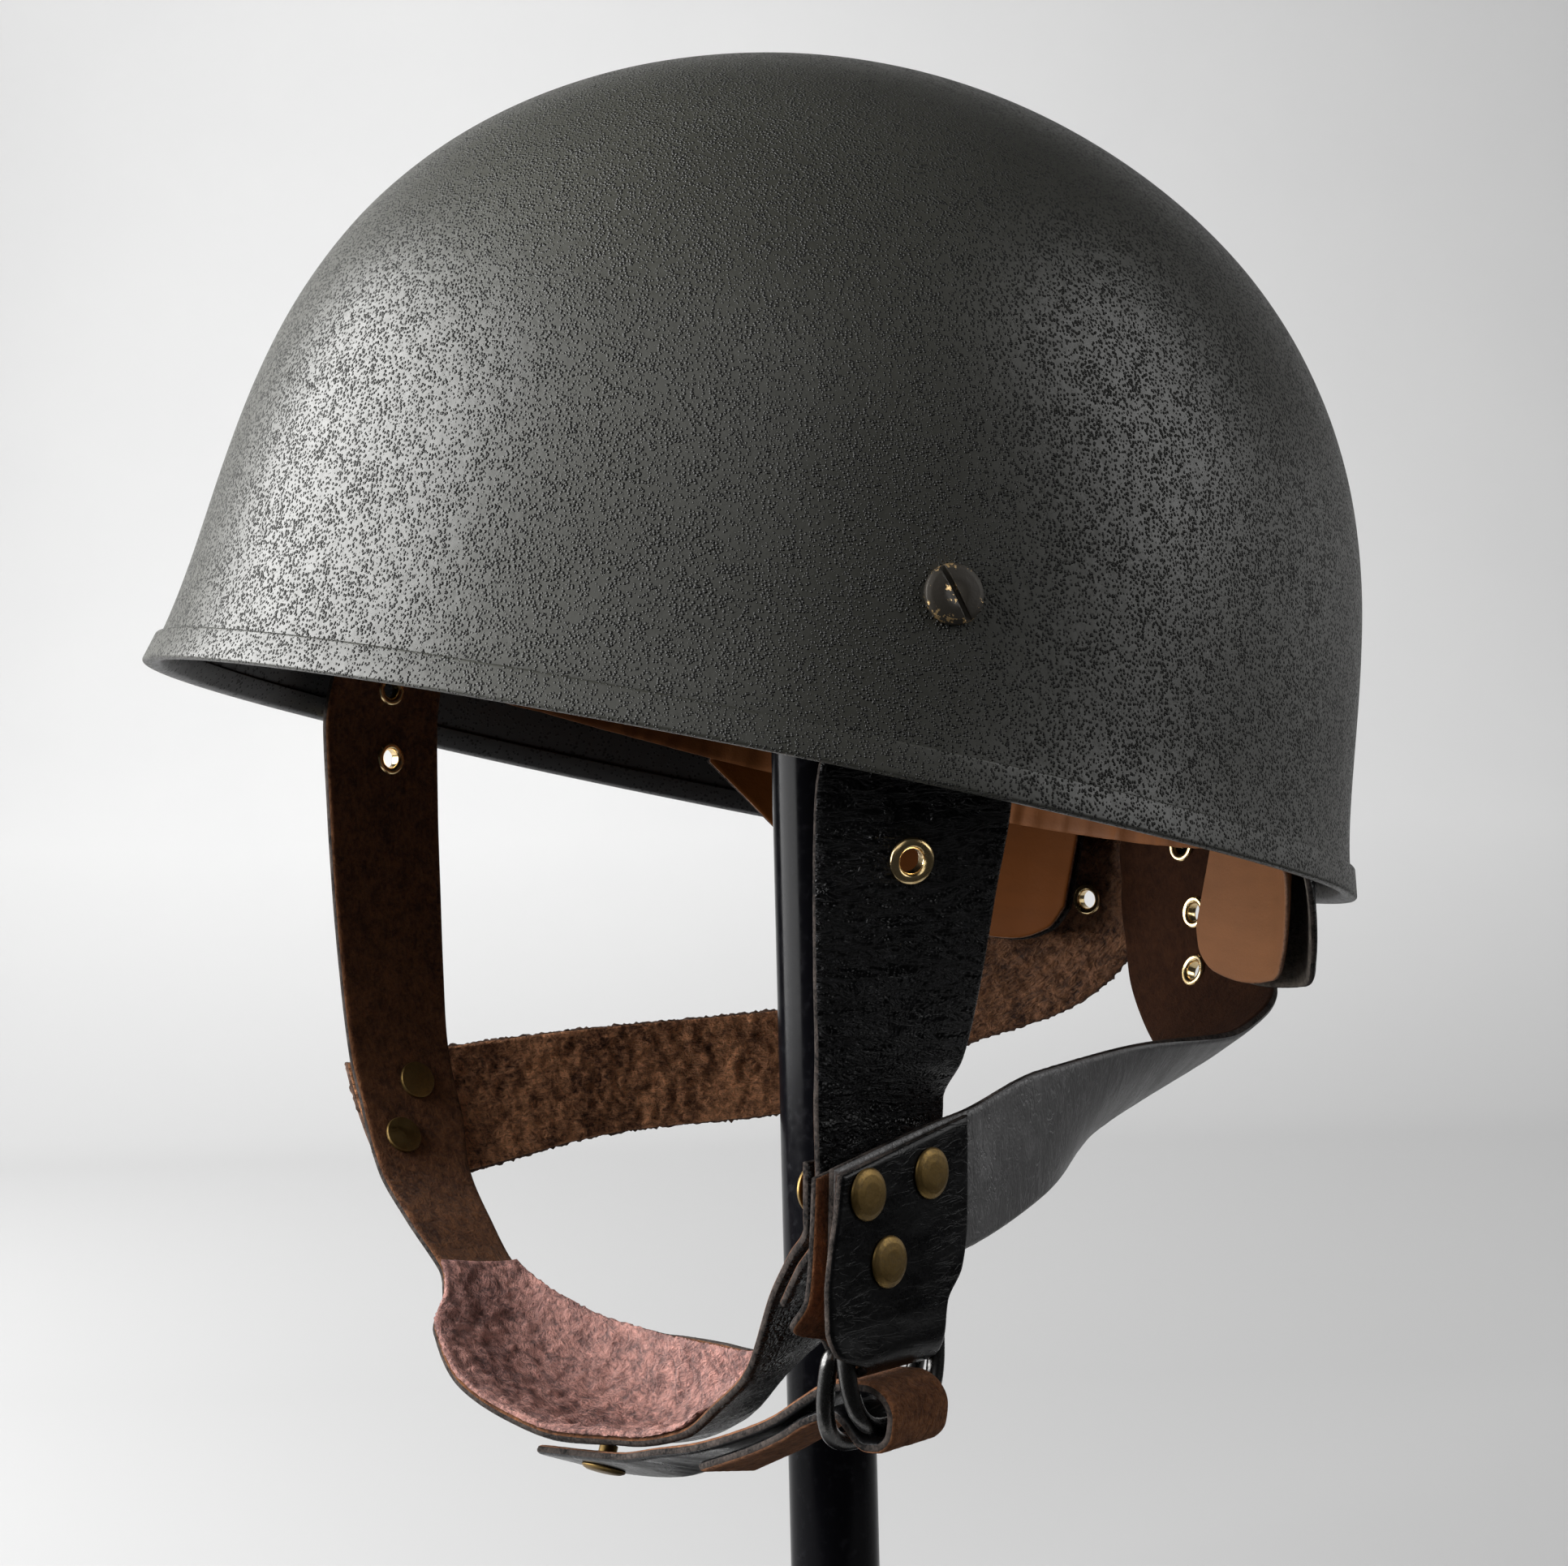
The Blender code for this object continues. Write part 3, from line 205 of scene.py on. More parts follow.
# Stand
BASE_RADIUS = 100.0
BASE_THICK = 8.0
POLE_RADIUS = 10.0
HEAD_RADIUS = 24.0
HEAD_DOME = 60.0
HEAD_THICK = 12.0
HEAD_CLEAR = 0.8


TILT = np.array(Matrix.Rotation(ROLL_LEFT, 3, "Y") @ Matrix.Rotation(-LEAN_BACK, 3, "X"))


def hung_from_helmet(points):
    """Helmet frame to hung frame."""
    return np.asarray(points, float) @ TILT.T


def world(points):
    """Hung frame in millimetres to the world in metres."""
    return (np.asarray(points, float) + np.array(RIM_CENTRE)) * MM


def axis_frame(direction):
    """Three unit columns: two across the direction, then the direction."""
    up = Vector(direction).normalized()
    side = Vector((0.0, 0.0, 1.0)).cross(up)
    if side.length < 1e-4:
        side = Vector((1.0, 0.0, 0.0)).cross(up)
    side.normalize()
    return np.column_stack([side, up.cross(side), up])


def turned(profile, sides, centre, direction):
    """Points and faces of a profile of (radius, height) turned about an axis.

    A profile that starts and ends on the axis closes there, and any other is a closed loop.
    """
    columns = axis_frame(direction)
    capped = profile[0][0] == 0.0
    points, rings = [], []
    for radius, height in profile:
        count = 1 if radius == 0.0 else sides
        ring = []
        for k in range(count):
            turn = 2 * math.pi * k / sides
            local = (radius * math.cos(turn), radius * math.sin(turn), height)
            ring.append(len(points))
            points.append(np.array(centre) + columns @ np.array(local))
        rings.append(ring)
    faces = []
    pairs = list(zip(rings, rings[1:]))
    if not capped:
        pairs.append((rings[-1], rings[0]))
    for first, second in pairs:
        for k in range(sides):
            corner = [first[k % len(first)], first[(k + 1) % len(first)],
                      second[(k + 1) % len(second)], second[k % len(second)]]
            face = []
            for index in corner:
                if index not in face:
                    face.append(index)
            faces.append(face)
    return points, faces


def rim_factor(rise):
    """Size of the horizontal section, as a share of the body's, at a share of the height."""
    turn = np.arcsin(np.clip(rise, 0.0, 1.0) ** (1.0 / RISE_POWER))
    flare = FLARE_OUT / BODY_HALF_LENGTH * np.exp(-rise * SHELL_HEIGHT / FLARE_HEIGHT)
    return np.cos(turn) ** WALL_POWER + flare


def wall_point(angle, height, inset):
    """Point of the shell's wall, inset from its outside; angle 0 is the front, 90 the left."""
    rise = height / SHELL_HEIGHT
    factor = float(rim_factor(np.array(rise)))
    turn = math.radians(angle)
    across = (BODY_HALF_WIDTH * factor - inset) * math.sin(turn)
    along = -(BODY_HALF_LENGTH * factor - inset) * math.cos(turn) + CROWN_SHIFT * rise
    return np.array([across, along, height])


def wall_normal(angle, height):
    """Outward normal of the shell's wall."""
    step = 0.5
    around = wall_point(angle + step, height, 0.0) - wall_point(angle - step, height, 0.0)
    upward = wall_point(angle, height + step, 0.0) - wall_point(angle, height - step, 0.0)
    normal = np.cross(around, upward)
    return normal / np.linalg.norm(normal)


def screw_seat(angle):
    """Centre on the shell's outside and outward axis of one screw, in the helmet frame."""
    return wall_point(angle, SCREW_HEIGHT, 0.0), wall_normal(angle, SCREW_HEIGHT)


def hung_seat(angle):
    """The same in the hung frame."""
    centre, axis = screw_seat(angle)
    return hung_from_helmet(centre), hung_from_helmet(axis)


def level_slopes(rows, knots):
    """Slopes at the rows that never let the smoothed sheet swing past a row."""
    rise = np.diff(rows, axis=0) / np.diff(knots)[:, None]
    before, after = rise[:-1], rise[1:]
    product = before * after
    total = np.where(product > 0.0, before + after, 1.0)
    middle = np.where(product > 0.0, 2.0 * product / total, 0.0)
    return np.concatenate([rise[:1], middle, rise[-1:]])


def tucked(points, inset):
    """Points in the hung frame, moved in where they come closer than an inset to the shell."""
    local = points @ TILT
    height = np.clip(local[..., 2], 0.0, SHELL_HEIGHT * TUCK_TOP)
    band = BAND_WALL + GAP + TUCK_CLEAR
    depth = inset + band * np.clip((BAND_INSIDE + TUCK_START - height) / TUCK_OVER, 0.0, 1.0)
    factor = rim_factor(height / SHELL_HEIGHT)
    shift = CROWN_SHIFT * height / SHELL_HEIGHT
    reach = np.hypot(local[..., 0] / (BODY_HALF_WIDTH * factor - depth),
                     (local[..., 1] - shift) / (BODY_HALF_LENGTH * factor - depth))
    inside = np.minimum(1.0, 1.0 / np.maximum(reach, 1e-6))
    inside = 1.0 + (inside - 1.0) * np.clip((local[..., 2] + FREE_DEPTH) / FREE_OVER, 0.0, 1.0)
    local = local.copy()
    local[..., 0] *= inside
    local[..., 1] = (local[..., 1] - shift) * inside + shift
    return local @ TILT.T


def edged(length, cell):
    """Places along a length, a cell apart and closer at both ends."""
    count = max(2, math.ceil((length - 2 * EDGE_ROUND) / cell) + 1)
    near = np.array(EDGE_STEPS)
    return np.concatenate([near, np.linspace(EDGE_ROUND, length - EDGE_ROUND, count), length - near[::-1]])


class Strip:
    """Smooth sheet between an edge A and an edge B, in the hung frame.

    Each row holds edge A, edge B and a bow: how far the middle stands out towards the grain side.
    A peak above 1 moves the bow's highest line towards edge B. A tuck keeps the sheet that far
    inside the shell's outer surface. The mesh is a cell's size, or the sections along and the
    cells across.
    """

    def __init__(self, rows, mesh, outward, thickness, peak=1.0, tuck=None):
        rows = np.array([np.concatenate([np.ravel(part) for part in row]) for row in rows], float)
        middle = (rows[:, 0:3] + rows[:, 3:6]) / 2
        knots = np.concatenate([[0.0], np.cumsum(np.linalg.norm(np.diff(middle, axis=0), axis=1))])
        slopes = level_slopes(rows, knots)
        fine = isinstance(mesh, float)
        at = edged(knots[-1], mesh) if fine else np.linspace(0.0, knots[-1], mesh[0])
        k = np.clip(np.searchsorted(knots, at, side="right") - 1, 0, len(knots) - 2)
        span = (knots[k + 1] - knots[k])[:, None]
        s = (at[:, None] - knots[k][:, None]) / span
        smooth = ((2 * s**3 - 3 * s**2 + 1) * rows[k] + (s**3 - 2 * s**2 + s) * span * slopes[k]
                  + (3 * s**2 - 2 * s**3) * rows[k + 1] + (s**3 - s**2) * span * slopes[k + 1])
        edge_a, edge_b = smooth[:, None, 0:3], smooth[:, None, 3:6]
        width = float(np.linalg.norm(edge_a - edge_b, axis=2).mean())
        share = edged(width, mesh) / width if fine else np.linspace(0.0, 1.0, mesh[1] + 1)
        share = share[None, :, None]
        flat = edge_a * (1 - share) + edge_b * share
        bulge = smooth[:, None, 6:7] * (1 - (2 * share ** peak - 1) ** 2)
        self.outward = outward
        self.thickness = thickness
        self.grid = flat
        self.grid = flat + self.normals() * bulge
        if tuck is not None:
            self.grid = tucked(self.grid, tuck)

    def normals(self):
        along = np.gradient(self.grid, axis=0)
        across = np.gradient(self.grid, axis=1)
        normal = np.cross(along, across) * self.outward
        return normal / np.linalg.norm(normal, axis=2, keepdims=True)

    def beside(self, point, offset):
        """Nearest point of the sheet's middle, moved along its grain-side normal."""
        away = np.linalg.norm(self.grid - np.array(point), axis=2)
        i, j = np.unravel_index(int(np.argmin(away)), away.shape)
        normal = self.normals()[i, j]
        slip = np.array(point) - self.grid[i, j]
        foot = self.grid[i, j] + slip - normal * float(slip @ normal)
        return foot + normal * offset, normal

    def seat(self, point, radius):
        """Foot, axis and the sheet's highest and lowest levels under a round part on it."""
        places = self.grid.reshape(-1, 3)
        foot = places[np.argmin(np.linalg.norm(places - np.array(point), axis=1))]
        under = places[np.linalg.norm(places - foot, axis=1) < radius + 0.5]
        axis = np.linalg.svd(under - under.mean(axis=0))[2][2]
        if axis @ self.beside(foot, 0.0)[1] < 0.0:
            axis = -axis
        levels = (under - foot) @ axis
        return foot, axis, float(levels.max()), float(levels.min())


def stack_point(outward, along, up):
    """Point of the riveted stack's frame in the hung frame."""
    cosine, sine = math.cos(STACK_TURN), math.sin(STACK_TURN)
    return np.array([STACK_ORIGIN[0] + outward * cosine - along * sine,
                     STACK_ORIGIN[1] + outward * sine + along * cosine, up])


def stack_row(level, left, left_up, right, right_up):
    """A strip's straight row at one level of the stack."""
    return stack_point(level, left, left_up), stack_point(level, right, right_up), 0.0


def on_circle(centre, radius, degrees):
    """Outward and up of a place on a circle in the stack's frame."""
    turn = math.radians(degrees)
    return centre[0] + radius * math.cos(turn), centre[1] + radius * math.sin(turn)


def wall_row(angle, spread, height, inset, bow):
    """A strip's row against the shell's inside, its edges spread about an angle."""
    first = wall_point(angle - spread, height, inset)
    second = wall_point(angle + spread, height, inset)
    return hung_from_helmet(first), hung_from_helmet(second), bow


def chin_strap_left(mesh):
    """Strap on the wearer's left: edge A is its front edge."""
    rows = [wall_row(SIDE_ANGLE, 6.0, STRAP_END_HEIGHT, STRAP_INSET + 0.3, 0.8),
            wall_row(SIDE_ANGLE, 6.8, SCREW_HEIGHT, STRAP_INSET, 0.9),
            wall_row(SIDE_ANGLE, 7.2, 22.0, STRAP_INSET + 0.5, 0.9),
            ((103.0, -57.5, -1.5), (114.0, -21.4, -2.4), 0.3),
            ((102.5, -58.0, -18.3), (109.0, -21.7, -19.8), 0.3),
            ((101.5, -57.6, -33.0), (104.5, -21.9, -35.0), 0.3),
            ((100.0, -56.6, -47.9), (98.0, -21.7, -50.7), 0.2),
            stack_row(SIDE_LEVEL, -11.5, -59.0, 24.5, -60.0),
            stack_row(SIDE_LEVEL, -11.5, -69.0, 23.0, -69.0),
            stack_row(SIDE_LEVEL, -12.0, -79.5, 20.5, -79.5),
            ((86.8, -53.0, -89.5), (81.5, -30.5, -89.8), 0.0),
            ((80.0, -52.0, -96.8), (75.0, -34.0, -97.5), 0.0)]
    return Strip(rows, mesh, 1, LEATHER, tuck=STRAP_INSET)


def chin_cup_strap(left, mesh):
    """Strap on the wearer's right, widening to the cup and ending inside the left strap."""
    rows = [wall_row(360.0 - SIDE_ANGLE, -6.0, STRAP_END_HEIGHT, STRAP_INSET + 0.3, 0.8),
            wall_row(360.0 - SIDE_ANGLE, -6.8, SCREW_HEIGHT, STRAP_INSET, 0.9),
            ((-101.0, -59.8, 17.1), (-109.0, -25.7, 17.0), 0.6),
            ((-101.0, -59.3, -2.7), (-108.5, -26.3, -3.5), 0.3),
            ((-100.5, -58.7, -22.4), (-107.0, -26.9, -23.9), 0.2),
            ((-99.5, -57.8, -42.1), (-104.5, -27.9, -44.1), 0.0),
            ((-97.5, -56.7, -61.8), (-100.0, -29.1, -64.1), 0.0),
            ((-93.0, -55.7, -75.2), (-94.5, -28.9, -77.7), 0.0),
            ((-85.0, -55.8, -88.1), (-86.5, -31.2, -90.8), 0.0),
            ((-73.0, -54.9, -98.3), (-74.0, -32.6, -101.1), 0.0),
            ((-60.0, -53.3, -108.2), (-60.0, -33.2, -110.8), 0.5),
            ((-50.0, -57.3, -113.8), (-50.0, -32.3, -113.6), 3.0),
            ((-40.0, -64.8, -118.6), (-40.0, -30.4, -116.3), 6.0),
            ((-25.0, -67.6, -126.5), (-25.0, -26.4, -119.6), 8.5),
            ((-10.0, -63.9, -132.3), (-10.0, -24.9, -119.7), 12.0),
            ((5.0, -58.6, -135.0), (5.0, -25.8, -118.3), 14.5),
            ((20.0, -51.6, -134.3), (20.0, -27.1, -117.0), 12.0),
            ((37.5, -49.2, -130.0), (36.0, -28.5, -115.8), 7.0),
            ((54.0, -50.6, -120.9), (52.0, -28.5, -111.2), 2.5),
            ((66.5, -51.5, -112.2), (63.5, -28.5, -106.0), 0.5)]
    inside = left.grid - left.normals() * (TAIL_OFFSET + TAIL_ROOM)
    for front, rear in zip(inside[::-1, 0], inside[::-1, -1]):
        if TAIL_START < front[2] < TAIL_END:
            rows.append((front, rear, 0.0))
    return Strip(rows, mesh, -1, LEATHER, peak=1.4, tuck=STRAP_INSET)


class Lining:
    """Suede glued inside the cup: the strap's own rows between two places, moved in."""

    def __init__(self, cup):
        inside = [i for i in range(len(cup.grid)) if CUP_START < cup.grid[i, 2, 0] < CUP_END
                  and cup.grid[i, 2, 2] < CUP_TOP]
        self.thickness = LINING
        self.facing = cup.normals()[inside]
        self.grid = cup.grid[inside] - self.facing * (LEATHER / 2 + LINING_GLUE + LINING / 2)

    def normals(self):
        return self.facing


def nape_strap_left(mesh):
    """Hangs from the rear screw and turns forward to the riveted stack; edge A becomes its top."""
    inset = STRAP_INSET + LEATHER + GAP + 0.35
    rows = [wall_row(REAR_ANGLE, 8.0, STRAP_END_HEIGHT, inset + 0.3, 0.9),
            wall_row(REAR_ANGLE, 9.0, SCREW_HEIGHT, inset, 1.0),
            ((23.5, 128.0, -10.0), (-23.0, 127.4, -10.0), 1.5),
            ((25.0, 126.6, -28.0), (-22.0, 126.2, -31.0), 1.5),
            ((31.5, 123.6, -43.0), (-19.5, 125.4, -50.0), 1.0),
            ((47.0, 111.0, -49.8), (-2.0, 116.5, -64.5), 0.8),
            ((60.0, 92.5, -53.8), (22.0, 96.0, -69.0), 0.8),
            ((69.5, 74.0, -55.7), (42.0, 72.5, -70.5), 1.0),
            ((79.0, 40.2, -54.6), (66.0, 35.0, -74.4), 2.0),
            ((90.0, 3.6, -56.4), (85.5, 7.0, -81.7), 1.0),
            stack_row(NAPE_LEVEL, 25.0, -61.8, 25.0, -87.8),
            stack_row(NAPE_LEVEL, 16.0, -63.0, 16.0, -88.8),
            stack_row(NAPE_LEVEL, -13.0, -68.3, -14.5, -90.0)]
    return Strip(rows, mesh, 1, LEATHER, tuck=inset)


def nape_strap_right(cup, mesh):
    """Hangs from the rear screw, outside the left one, and runs to the outside of the cup strap."""
    offset = TAIL_OFFSET + TAIL_ROOM
    front_top = cup.beside((-98.0, -56.5, -63.5), offset)[0]
    front_low = cup.beside((-84.0, -52.0, -93.0), offset)[0]
    rear_top = cup.beside((-100.0, -30.0, -61.5), offset)[0]
    rear_low = cup.beside((-87.0, -30.0, -90.0), offset)[0]
    rows = [wall_row(REAR_ANGLE, -8.0, STRAP_END_HEIGHT, STRAP_INSET + 0.2, 0.9),
            wall_row(REAR_ANGLE, -9.0, SCREW_HEIGHT, STRAP_INSET, 1.0),
            ((-26.0, 130.2, -4.0), (6.0, 133.2, 2.0), 0.8),
            ((-38.5, 125.1, -15.0), (-16.5, 131.4, -23.0), 0.8),
            ((-48.0, 118.8, -27.0), (-23.5, 131.0, -42.0), 0.5),
            ((-58.0, 106.6, -41.5), (-35.5, 121.6, -57.5), 1.0),
            ((-69.0, 85.0, -51.0), (-60.0, 98.8, -69.4), 1.5),
            ((-82.0, 58.0, -57.8), (-80.0, 58.5, -84.5), 1.0),
            ((-95.0, 7.2, -59.9), (-93.5, 11.0, -87.0), 0.5),
            (rear_top, rear_low, 2.3), (front_top, front_low, 2.3)]
    return Strip(rows, mesh, -1, LEATHER, tuck=STRAP_INSET)


def ring_holder(mesh):
    """Front half, the fold round the bars, and the back half."""
    front = ((-13.7, -69.2, 22.9, -62.2), (-15.0, -76.0, 22.4, -76.0), (-16.8, -83.0, 22.0, -83.0),
             (-18.0, -90.5, 20.2, -90.5), (-18.0, -96.0, 15.8, -96.0))
    rows = [stack_row(PLATE_LEVEL, *edges) for edges in front]
    for turn, left, right in ((0.0, -16.0, 14.2), (-45.0, -7.2, 13.9), (-90.0, -6.3, 13.6),
                              (-135.0, -6.3, 13.8), (-180.0, -7.4, 14.2)):
        outward, up = on_circle(FOLD_CENTRE, FOLD_RADIUS, turn)
        rows.append(stack_row(outward, left, up, right, up))
    rows += [stack_row(BACK_LEVEL - FOLD_BELLY, -19.5, -96.3, 18.0, -96.3),
             stack_row(BACK_LEVEL, -18.0, -91.5, 20.5, -91.5),
             stack_row(BACK_LEVEL, -16.5, -83.0, 22.0, -83.0),
             stack_row(BACK_LEVEL, -15.2, -69.8, 22.4, -63.0)]
    return Strip(rows, mesh, 1, HOLDER_LEATHER)


def adjusting_strap(mesh):
    """Riveted under the cup, through both rings, round the outer one and back beneath itself."""
    rows = [((-13.0, -54.0, -141.4), (-11.0, -38.5, -147.2), 0.0),
            ((6.0, -53.5, -138.9), (6.5, -38.0, -145.2), 0.0),
            ((20.0, -53.0, -136.9), (20.0, -37.0, -142.8), 0.0),
            ((33.0, -52.5, -133.6), (33.0, -36.0, -138.2), 0.0),
            ((46.0, -52.2, -130.4), (47.0, -36.0, -132.4), 0.0),
            ((60.0, -52.0, -125.8), (60.0, -36.0, -126.4), 0.0),
            ((74.0, -51.5, -120.2), (72.0, -36.5, -120.4), 0.0)]
    near, far = LOOP_SIDES
    bends = [(-20.0, -114.2), (-12.5, -110.4)]
    bends += [on_circle(LOOP_CENTRE, LOOP_RADIUS, turn) for turn in (90.0, 50.0, 10.0, -30.0, -70.0, -100.0)]
    rows += [stack_row(outward, near, up, far, up) for outward, up in bends]
    rows += [stack_row(-12.0, near, -115.4, far, -115.4),
             stack_row(-19.5, near, -117.8, far, -118.0),
             ((78.0, -51.5, -121.9), (74.5, -36.0, -122.6), 0.0),
             ((66.0, -51.0, -127.1), (62.0, -35.5, -128.9), 0.0),
             ((56.0, -51.0, -130.9), (52.0, -35.5, -133.4), 0.0),
             ((48.0, -51.0, -133.8), (44.0, -35.5, -137.0), 0.0)]
    return Strip(rows, mesh, -1, LEATHER)


def neck_flap(side, layer, mesh):
    """Stands away from the neck more and more from its rear edge forward."""
    half_width, half_length, flare, thickness = FLAP_LAYERS[layer]
    left = side == "left"
    sign = 1.0 if left else -1.0
    flare *= 1.0 if left else RIGHT_FLARE
    pinch = 0.0 if left else RIGHT_PINCH
    rows = []
    for angle, lowest in FLAP_TABLE[side]:
        turn = math.radians(angle)
        lean = flare * min(1.0, max(0.0, (angle - FLAP_LEAN_START) / FLAP_LEAN_OVER)) / FLAP_DROP
        ends = []
        for height in (FLAP_TOP, lowest):
            out = lean * (FLAP_TOP - height) - pinch
            ends.append(hung_from_helmet((sign * (half_width + out) * math.sin(turn),
                                          (half_length + out) * math.cos(turn), height)))
        rows.append((*ends, 0.0))
    return Strip(rows, mesh, 1, thickness)


# Noise, rounded outlines and meshes

HASH_SEED = 97911
HASH_PRIMES = (374761393, 668265263, 1442695041)
HASH_MIX = 1274126177


def lattice(points, seed):
    """Smooth noise from -1 to 1 at points, from a hash of the corners of the cell around each."""
    base = np.floor(points).astype(np.int64)
    part = points - base
    part = part * part * (3.0 - 2.0 * part)
    total = np.zeros(points.shape[:-1])
    for corner in range(8):
        weight = np.ones_like(total)
        key = np.full(total.shape, seed * HASH_SEED, np.int64)
        for axis, prime in enumerate(HASH_PRIMES):
            step = corner >> axis & 1
            weight *= part[..., axis] if step else 1.0 - part[..., axis]
            key += (base[..., axis] + step) * prime
        key = ((key ^ (key >> 13)) * HASH_MIX) & 0xFFFFFFFF
        key ^= key >> 16
        total += weight * (key & 0xFFFF) / 32767.5
    return total - 1.0


def fractal(points, seed, octaves=3):
    """Noise with finer and weaker copies of itself added."""
    total, size, most = 0.0, 1.0, 0.0
    for octave in range(octaves):
        total = total + size * lattice(points * 2.0 ** octave, seed + octave)
        most += size
        size *= 0.5
    return total / most


def tube_faces(rings, count):
    """Quads round a closed loop of closed rings, each of so many points."""
    faces = []
    for k in range(rings):
        here, ahead = k * count, (k + 1) % rings * count
        for j in range(count):
            beside = (j + 1) % count
            faces.append([here + j, here + beside, ahead + beside, ahead + j])
    return faces


def filleted(profile, radius, steps=4, closed=False):
    """A polyline of 2-D points with each corner rounded."""
    points = [np.array(p, float) for p in profile]
    count = len(points)
    result = []
    for i, corner in enumerate(points):
        if not closed and i in (0, count - 1):
            result.append(corner)
            continue
        before, after = points[i - 1] - corner, points[(i + 1) % count] - corner
        first, second = np.linalg.norm(before), np.linalg.norm(after)
        start = corner + before / first * min(radius, 0.45 * first)
        end = corner + after / second * min(radius, 0.45 * second)
        for k in range(steps + 1):
            t = k / steps
            result.append((1 - t) ** 2 * start + 2 * t * (1 - t) * corner + t * t * end)
    return [(float(x), float(y)) for x, y in result]


def placed(name, data):
    """A new object in the scene."""
    thing = bpy.data.objects.new(name, data)
    bpy.context.scene.collection.objects.link(thing)
    return thing


def piece(name, points, faces, paints, nodes, slots=None, flow=None, smooth_angle=50.0):
    """A shown piece from points in the hung frame, standing for CAD nodes."""
    mesh = bpy.data.meshes.new(name)
    mesh.from_pydata(world(points).tolist(), [], [list(f) for f in faces])
    for paint in paints:
        mesh.materials.append(PAINTS[paint])
    if slots is not None:
        mesh.polygons.foreach_set("material_index", np.array(slots, np.int32))
    if flow is not None:
        layer = mesh.attributes.new("flow", "FLOAT_VECTOR", "POINT")
        layer.data.foreach_set("vector", (np.array(flow) * MM).astype(np.float32).ravel())
    shape = bmesh.new()
    shape.from_mesh(mesh)
    bmesh.ops.recalc_face_normals(shape, faces=shape.faces)
    shape.to_mesh(mesh)
    shape.free()
    mesh.shade_smooth()
    mesh.set_sharp_from_angle(angle=math.radians(smooth_angle))
    thing = placed(name, mesh)
    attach(thing, "root")
    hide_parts(*nodes)
    return thing


def open_edges(keep, quads, flat, middle):
    """Edges of the kept cells beside a removed one, and the way out of the sheet at their points."""
    i, j = np.nonzero(keep)
    framed = np.pad(keep, 1)
    neighbours = (framed[i, j + 1], framed[i + 1, j + 2], framed[i + 2, j + 1], framed[i + 1, j])
    first, second, outward = [], [], np.zeros((len(flat), 3))
    for side, there in enumerate(neighbours):
        a, b = quads[~there, side], quads[~there, (side + 1) % 4]
        push = (flat[a] + flat[b]) / 2 - middle[i[~there], j[~there]]
        np.add.at(outward, a, push)
        np.add.at(outward, b, push)
        first.append(a)
        second.append(b)
    return np.concatenate(first), np.concatenate(second), outward


